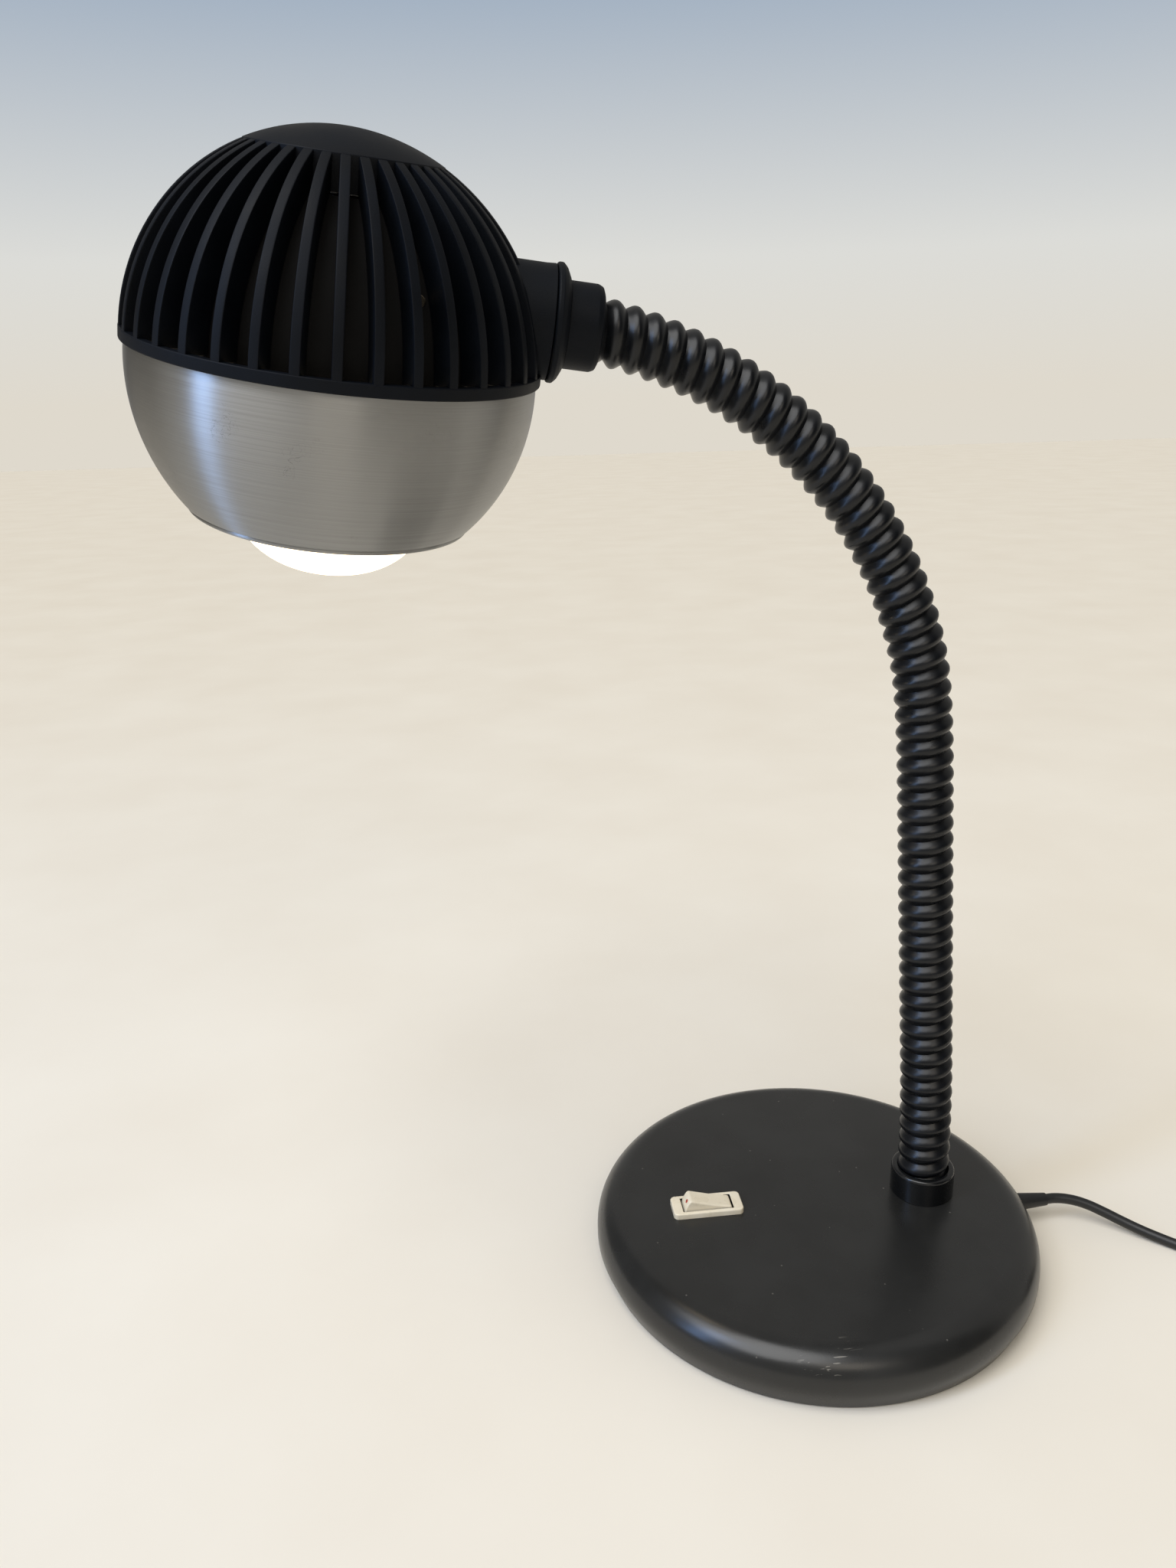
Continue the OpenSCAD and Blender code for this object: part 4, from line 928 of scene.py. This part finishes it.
ferrule = cup("neck_ferrule_cup", FERRULE_R, FERRULE_LEN, FERRULE_RIM)
move_mesh(ferrule, SWIVEL @ shift(0, 0, FERRULE_FACE))
fit_out(ferrule, GRAINED_BLACK, "neck_8", "black_plastic", "neck_ferrule")
ring = turned("swivel_ring_cap", [
    (NIPPLE_R, 0), (RING_R - 0.5, 0), (RING_R, 0.5), (RING_R, RING_T - RING_RIM),
    (RING_R - RING_RIM / 2, RING_T - RING_RIM / 2), (RING_R - 1.5 * RING_RIM, RING_T), (NIPPLE_R, RING_T),
    (NIPPLE_R, 0)])
soften(ring, 0.3, 3, 15)
move_mesh(ring, SWIVEL @ shift(0, 0, RING_FACE))
fit_out(ring, GRAINED_BLACK, "neck_8", "black_plastic", "swivel_ring")


# Head
def fin():
    """One upright fin: a slab swept along the ball's round, from the band to the cap."""
    inner = HEAD_R - FIN_DEPTH
    outer = HEAD_R - FIN_SINK
    low = math.degrees(math.asin((BAND_H - FIN_ROOT) / outer))
    high = math.degrees(math.acos((CAP_R - FIN_TUCK) / outer))
    steps = 26
    points = arc(outer, low, high, steps) + arc(inner, high, low, steps)
    piece = sawn("dome_fin", points + points[:1], FIN_T)
    soften(piece, 0.45, 2, 40)
    return piece


def dome():
    """Band, fins, closed cap with its pillar, and the swivel's boss, as one moulding."""
    first = fin()
    fins = [first]
    for k in range(1, FIN_COUNT):
        copy = first.copy()
        copy.data = first.data.copy()
        bpy.context.scene.collection.objects.link(copy)
        copy.data.transform(turn(FIN_PHASE + k * 360 / FIN_COUNT, "Z"))
        fins.append(copy)
    first.data.transform(turn(FIN_PHASE, "Z"))
    band_top = math.sqrt(HEAD_R ** 2 - BAND_H ** 2)
    band = turned("dome_band", [
        (HEAD_R - BAND_T, 0), (HEAD_R, 0), (band_top, BAND_H), (HEAD_R - BAND_T, BAND_H),
        (HEAD_R - BAND_T, 0)], 180)
    soften(band, 0.4, 3, 40)
    rim_angle = math.degrees(math.acos(CAP_R / HEAD_R))
    cap_points = arc(HEAD_R, rim_angle, 90, 16)
    cap_points += [(0, PILLAR_FACE), (PILLAR_R, PILLAR_FACE)]
    roof = HEAD_R - CAP_WALL
    roof_first = math.degrees(math.acos(PILLAR_R / roof))
    roof_last = math.degrees(math.acos((CAP_R - CAP_RIM) / roof))
    cap_points += arc(roof, roof_first, roof_last, 6)
    deep = HEAD_R - FIN_DEPTH - FIN_SINK
    rim_first = math.degrees(math.acos((CAP_R - CAP_RIM) / deep))
    rim_last = math.degrees(math.acos(CAP_R / deep))
    cap_points += arc(deep, rim_first, rim_last, 2)
    cap = turned("dome_cap", cap_points + cap_points[:1], 180)
    soften(cap, 0.3, 3, 40)
    boss = turned("dome_boss", [
        (NIPPLE_R, BOSS_ROOT), (BOSS_R, BOSS_ROOT), (BOSS_R, BOSS_REACH - 3), (RING_R - 0.6, BOSS_REACH),
        (NIPPLE_R, BOSS_REACH), (NIPPLE_R, BOSS_ROOT)])
    soften(boss, 0.35, 3, 40)
    move_mesh(boss, shift(0, 0, BOSS_H) @ turn(90, "Y"))
    whole = join("dome_moulding", [cap, band, boss] + fins)
    move_mesh(whole, HEAD)
    return whole


def bowl_side(offset):
    """The bowl's side, from its seam down to its mouth, drawn in by an offset."""
    middle_x = HEAD_R - BOWL_IN - math.sqrt(BOWL_ROUND ** 2 - BOWL_DROP ** 2)
    radius = BOWL_ROUND - offset
    first = math.degrees(math.asin((BOWL_DROP - SEAM) / radius))
    last = math.degrees(math.asin((BOWL_DROP - MOUTH_DEPTH) / radius))
    return arc(radius, first, last, 36, middle_x, -BOWL_DROP)


def bowl():
    """The spun bowl with its beaded mouth and the lip that sits in the band."""
    outer = bowl_side(0)
    inner = [point for point in bowl_side(BOWL_WALL) if point[1] < -LIP_DROP]
    mouth = outer[-1][0] - BEAD_R
    bead = arc(BEAD_R, 30, -210, 12, mouth, -MOUTH_DEPTH)
    lip = HEAD_R - BAND_T - LIP_CLEAR
    lip_points = [
        (lip - BOWL_WALL, -LIP_DROP), (lip - BOWL_WALL, LIP_TOP), (lip, LIP_TOP), (lip, -SEAM)]
    piece = turned("aluminium_bowl", outer[:-1] + bead + inner[::-1][1:] + lip_points + outer[:1], 192)
    smooth(piece, 40)
    round_map = piece.data.uv_layers.new(name="round")
    for face in piece.data.polygons:
        turns = []
        for corner in face.loop_indices:
            point = piece.data.vertices[piece.data.loops[corner].vertex_index].co
            turns.append(math.atan2(point.y, point.x) / (2 * math.pi))
        wraps = max(turns) - min(turns) > 0.5
        for corner, share in zip(face.loop_indices, turns):
            point = piece.data.vertices[piece.data.loops[corner].vertex_index].co
            along = share + 1 if wraps and share < 0 else share
            round_map.data[corner].uv = (along, point.z / (HEAD_R * MM))
    move_mesh(piece, HEAD)
    return piece


def bulb():
    """The reflector bulb's glass, from its neck to its crown."""
    steps = 20
    points = [(0, BULB_TOP), (BULB_NECK_R, BULB_TOP)]
    for k in range(steps + 1):
        share = k / steps
        swell = math.sin(math.pi / 2 * share) ** 1.25
        height = BULB_LOW + (BULB_SHOULDER - BULB_LOW) * share
        points.append((BULB_NECK_R + (BULB_R - BULB_NECK_R) * swell, height))
    for k in range(1, steps + 1):
        a = math.pi / 2 * k / steps
        crown = max(math.cos(a), 0) ** 0.85 if k < steps else 0
        points.append((BULB_R * crown, BULB_SHOULDER - (BULB_TIP + BULB_SHOULDER) * math.sin(a)))
    piece = turned("frosted_bulb", points, 96)
    smooth(piece, 60)
    move_mesh(piece, HEAD)
    return piece


fit_out(dome(), GRAINED_BLACK, "head", "black_plastic", "dome_grille")
fit_out(bowl(), ALUMINIUM, "head", "brushed_aluminium", "lower_bowl")
fit_out(bulb(), LIT_GLASS, "head", "frosted_glass", "bulb_glass")

# Nodes whose shape stays: each gets its finish
STAYING = {
    "base_weight": IRON, "base_plate": ZINC, "foot_pads": PAD_RUBBER, "base_screws": ZINC,
    "switch_terminals": BRASS, "neck_nipple": BRASS, "neck_washer": ZINC, "neck_nut": ZINC,
    "cord_clamp": CLAMP_NYLON, "clamp_screws": ZINC, "base_leads": LEAD_PVC, "cord_inner": CORD_PVC,
    "plug_pins": NICKEL, "swivel_tube": BRASS, "swivel_washer": ZINC, "swivel_nut": ZINC,
    "heat_shield": DARK_TIN, "holder_bracket": ZINC, "bracket_screws": ZINC,
    "lampholder_body": HOLDER_BLACK, "lampholder_sleeve": BRASS, "lampholder_tongue": BRASS,
    "bulb_cap": NICKEL, "bulb_contact": HOLDER_BLACK, "head_leads": LEAD_PVC,
}
for segment in range(len(RIB_RUNS)):
    STAYING["neck_core_%d" % segment] = CORE_STEEL
for name, finish in STAYING.items():
    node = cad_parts[name]
    node.data.materials.clear()
    node.data.materials.append(finish)


# Stage: a plain pale floor, a surround that pales towards the floor, and soft lamps
def floor():
    """The plain pale floor."""
    bpy.ops.object.select_all(action="DESELECT")
    bpy.ops.mesh.primitive_plane_add(size=14, location=(0, 0, 0))
    piece = bpy.context.object
    piece.name = "pale_floor"
    made, tree, shader, place = material("pale_floor")
    cloud = add(tree, "ShaderNodeTexNoise", {"Vector": place, "Scale": per_mm(120), "Detail": 4.0})
    tone = ramp(tree, cloud.outputs["Fac"], ((0.3, "#e4dccd"), (0.7, "#e8e1d3")))
    tree.links.new(tone, shader.inputs["Base Color"])
    shader.inputs["Roughness"].default_value = 0.9
    piece.data.materials.append(made)
    piece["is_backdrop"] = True


def dark_side(tree, heading, azimuth, depth):
    """A factor that falls off about one azimuth, in degrees from the front, as a dark screen does."""
    a = math.radians(azimuth)
    level = add(tree, "ShaderNodeVectorMath", {0: heading, 1: (1, 1, 0)}, operation="MULTIPLY")
    compass = add(tree, "ShaderNodeVectorMath", {0: level.outputs["Vector"]}, operation="NORMALIZE")
    facing = add(tree, "ShaderNodeVectorMath", {
        0: compass.outputs["Vector"], 1: (math.sin(a), -math.cos(a), 0)}, operation="DOT_PRODUCT")
    fall = add(tree, "ShaderNodeMapRange", {
        "Value": facing.outputs["Value"], "From Min": 0.84, "From Max": 0.97,
        "To Min": 1.0, "To Max": 1 - depth}, interpolation_type="SMOOTHSTEP")
    return fall.outputs["Result"]


def surround():
    """The world: a pale backdrop for the camera, and even light with two dark screens in reflections."""
    world = bpy.data.worlds.new("pale_surround")
    bpy.context.scene.world = world
    world.use_nodes = True
    tree = world.node_tree
    tree.nodes.clear()
    heading = add(tree, "ShaderNodeTexCoord", {}).outputs["Generated"]
    height = add(tree, "ShaderNodeSeparateXYZ", {"Vector": heading})
    shown = ramp(tree, height.outputs["Z"], ((0.0, "#dfd9cd"), (0.1, "#dcdcd8"), (0.3, "#97a9be")))
    rays = add(tree, "ShaderNodeLightPath", {})
    seen = add(tree, "ShaderNodeMath", {
        0: rays.outputs["Is Camera Ray"], 1: rays.outputs["Is Transmission Ray"]}, operation="MAXIMUM")
    right = dark_side(tree, heading, 50, 0.9)
    left = dark_side(tree, heading, -125, 0.6)
    screens = add(tree, "ShaderNodeMath", {0: right, 1: left}, operation="MULTIPLY")
    mirrored = add(tree, "ShaderNodeMath", {0: screens.outputs["Value"], 1: 0.5}, operation="MULTIPLY")
    glossy = add(tree, "ShaderNodeMix", {
        "Factor": rays.outputs["Is Glossy Ray"], "A": 0.45, "B": mirrored.outputs["Value"]},
        data_type="FLOAT")
    strength = add(tree, "ShaderNodeMix", {
        "Factor": seen.outputs["Value"], "A": glossy.outputs["Result"], "B": 1.0}, data_type="FLOAT")
    colour = add(tree, "ShaderNodeMix", {
        "Factor": seen.outputs["Value"], "A": linear("#e8e5df"), "B": shown}, data_type="RGBA")
    light = add(tree, "ShaderNodeBackground", {
        "Color": colour.outputs["Result"], "Strength": strength.outputs["Result"]})
    add(tree, "ShaderNodeOutputWorld", {"Surface": light.outputs["Background"]})


def sun(name, target, strength, spread):
    """An even light from a direction, with a wide disc for soft shadows."""
    data = bpy.data.lights.new(name, "SUN")
    data.energy = strength
    data.angle = math.radians(spread)
    made = bpy.data.objects.new(name, data)
    made.rotation_euler = Vector(target).to_track_quat("-Z", "Y").to_euler()
    bpy.context.scene.collection.objects.link(made)


def lamp(name, place, target, size, power, colour):
    """A soft rectangular lamp aimed at a point."""
    data = bpy.data.lights.new(name, "AREA")
    data.shape = "RECTANGLE"
    data.size = size[0]
    data.size_y = size[1]
    data.energy = power
    data.color = linear(colour)[:3]
    made = bpy.data.objects.new(name, data)
    made.location = place
    made.rotation_euler = (Vector(target) - Vector(place)).to_track_quat("-Z", "Y").to_euler()
    bpy.context.scene.collection.objects.link(made)


floor()
surround()
sun("even_light", (0.45, 0.35, -1), 2.2, 50)
lamp("window_lamp", (-1.15, -0.45, 0.85), (-0.05, 0, 0.2), (0.24, 1.1), 6, "#9cc4ff")
lamp("front_lamp", (0.1, -1.4, 1.3), (0, 0, 0.2), (0.7, 0.6), 3, "#fff3e2")

bpy.ops.object.select_all(action="DESELECT")
low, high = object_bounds()
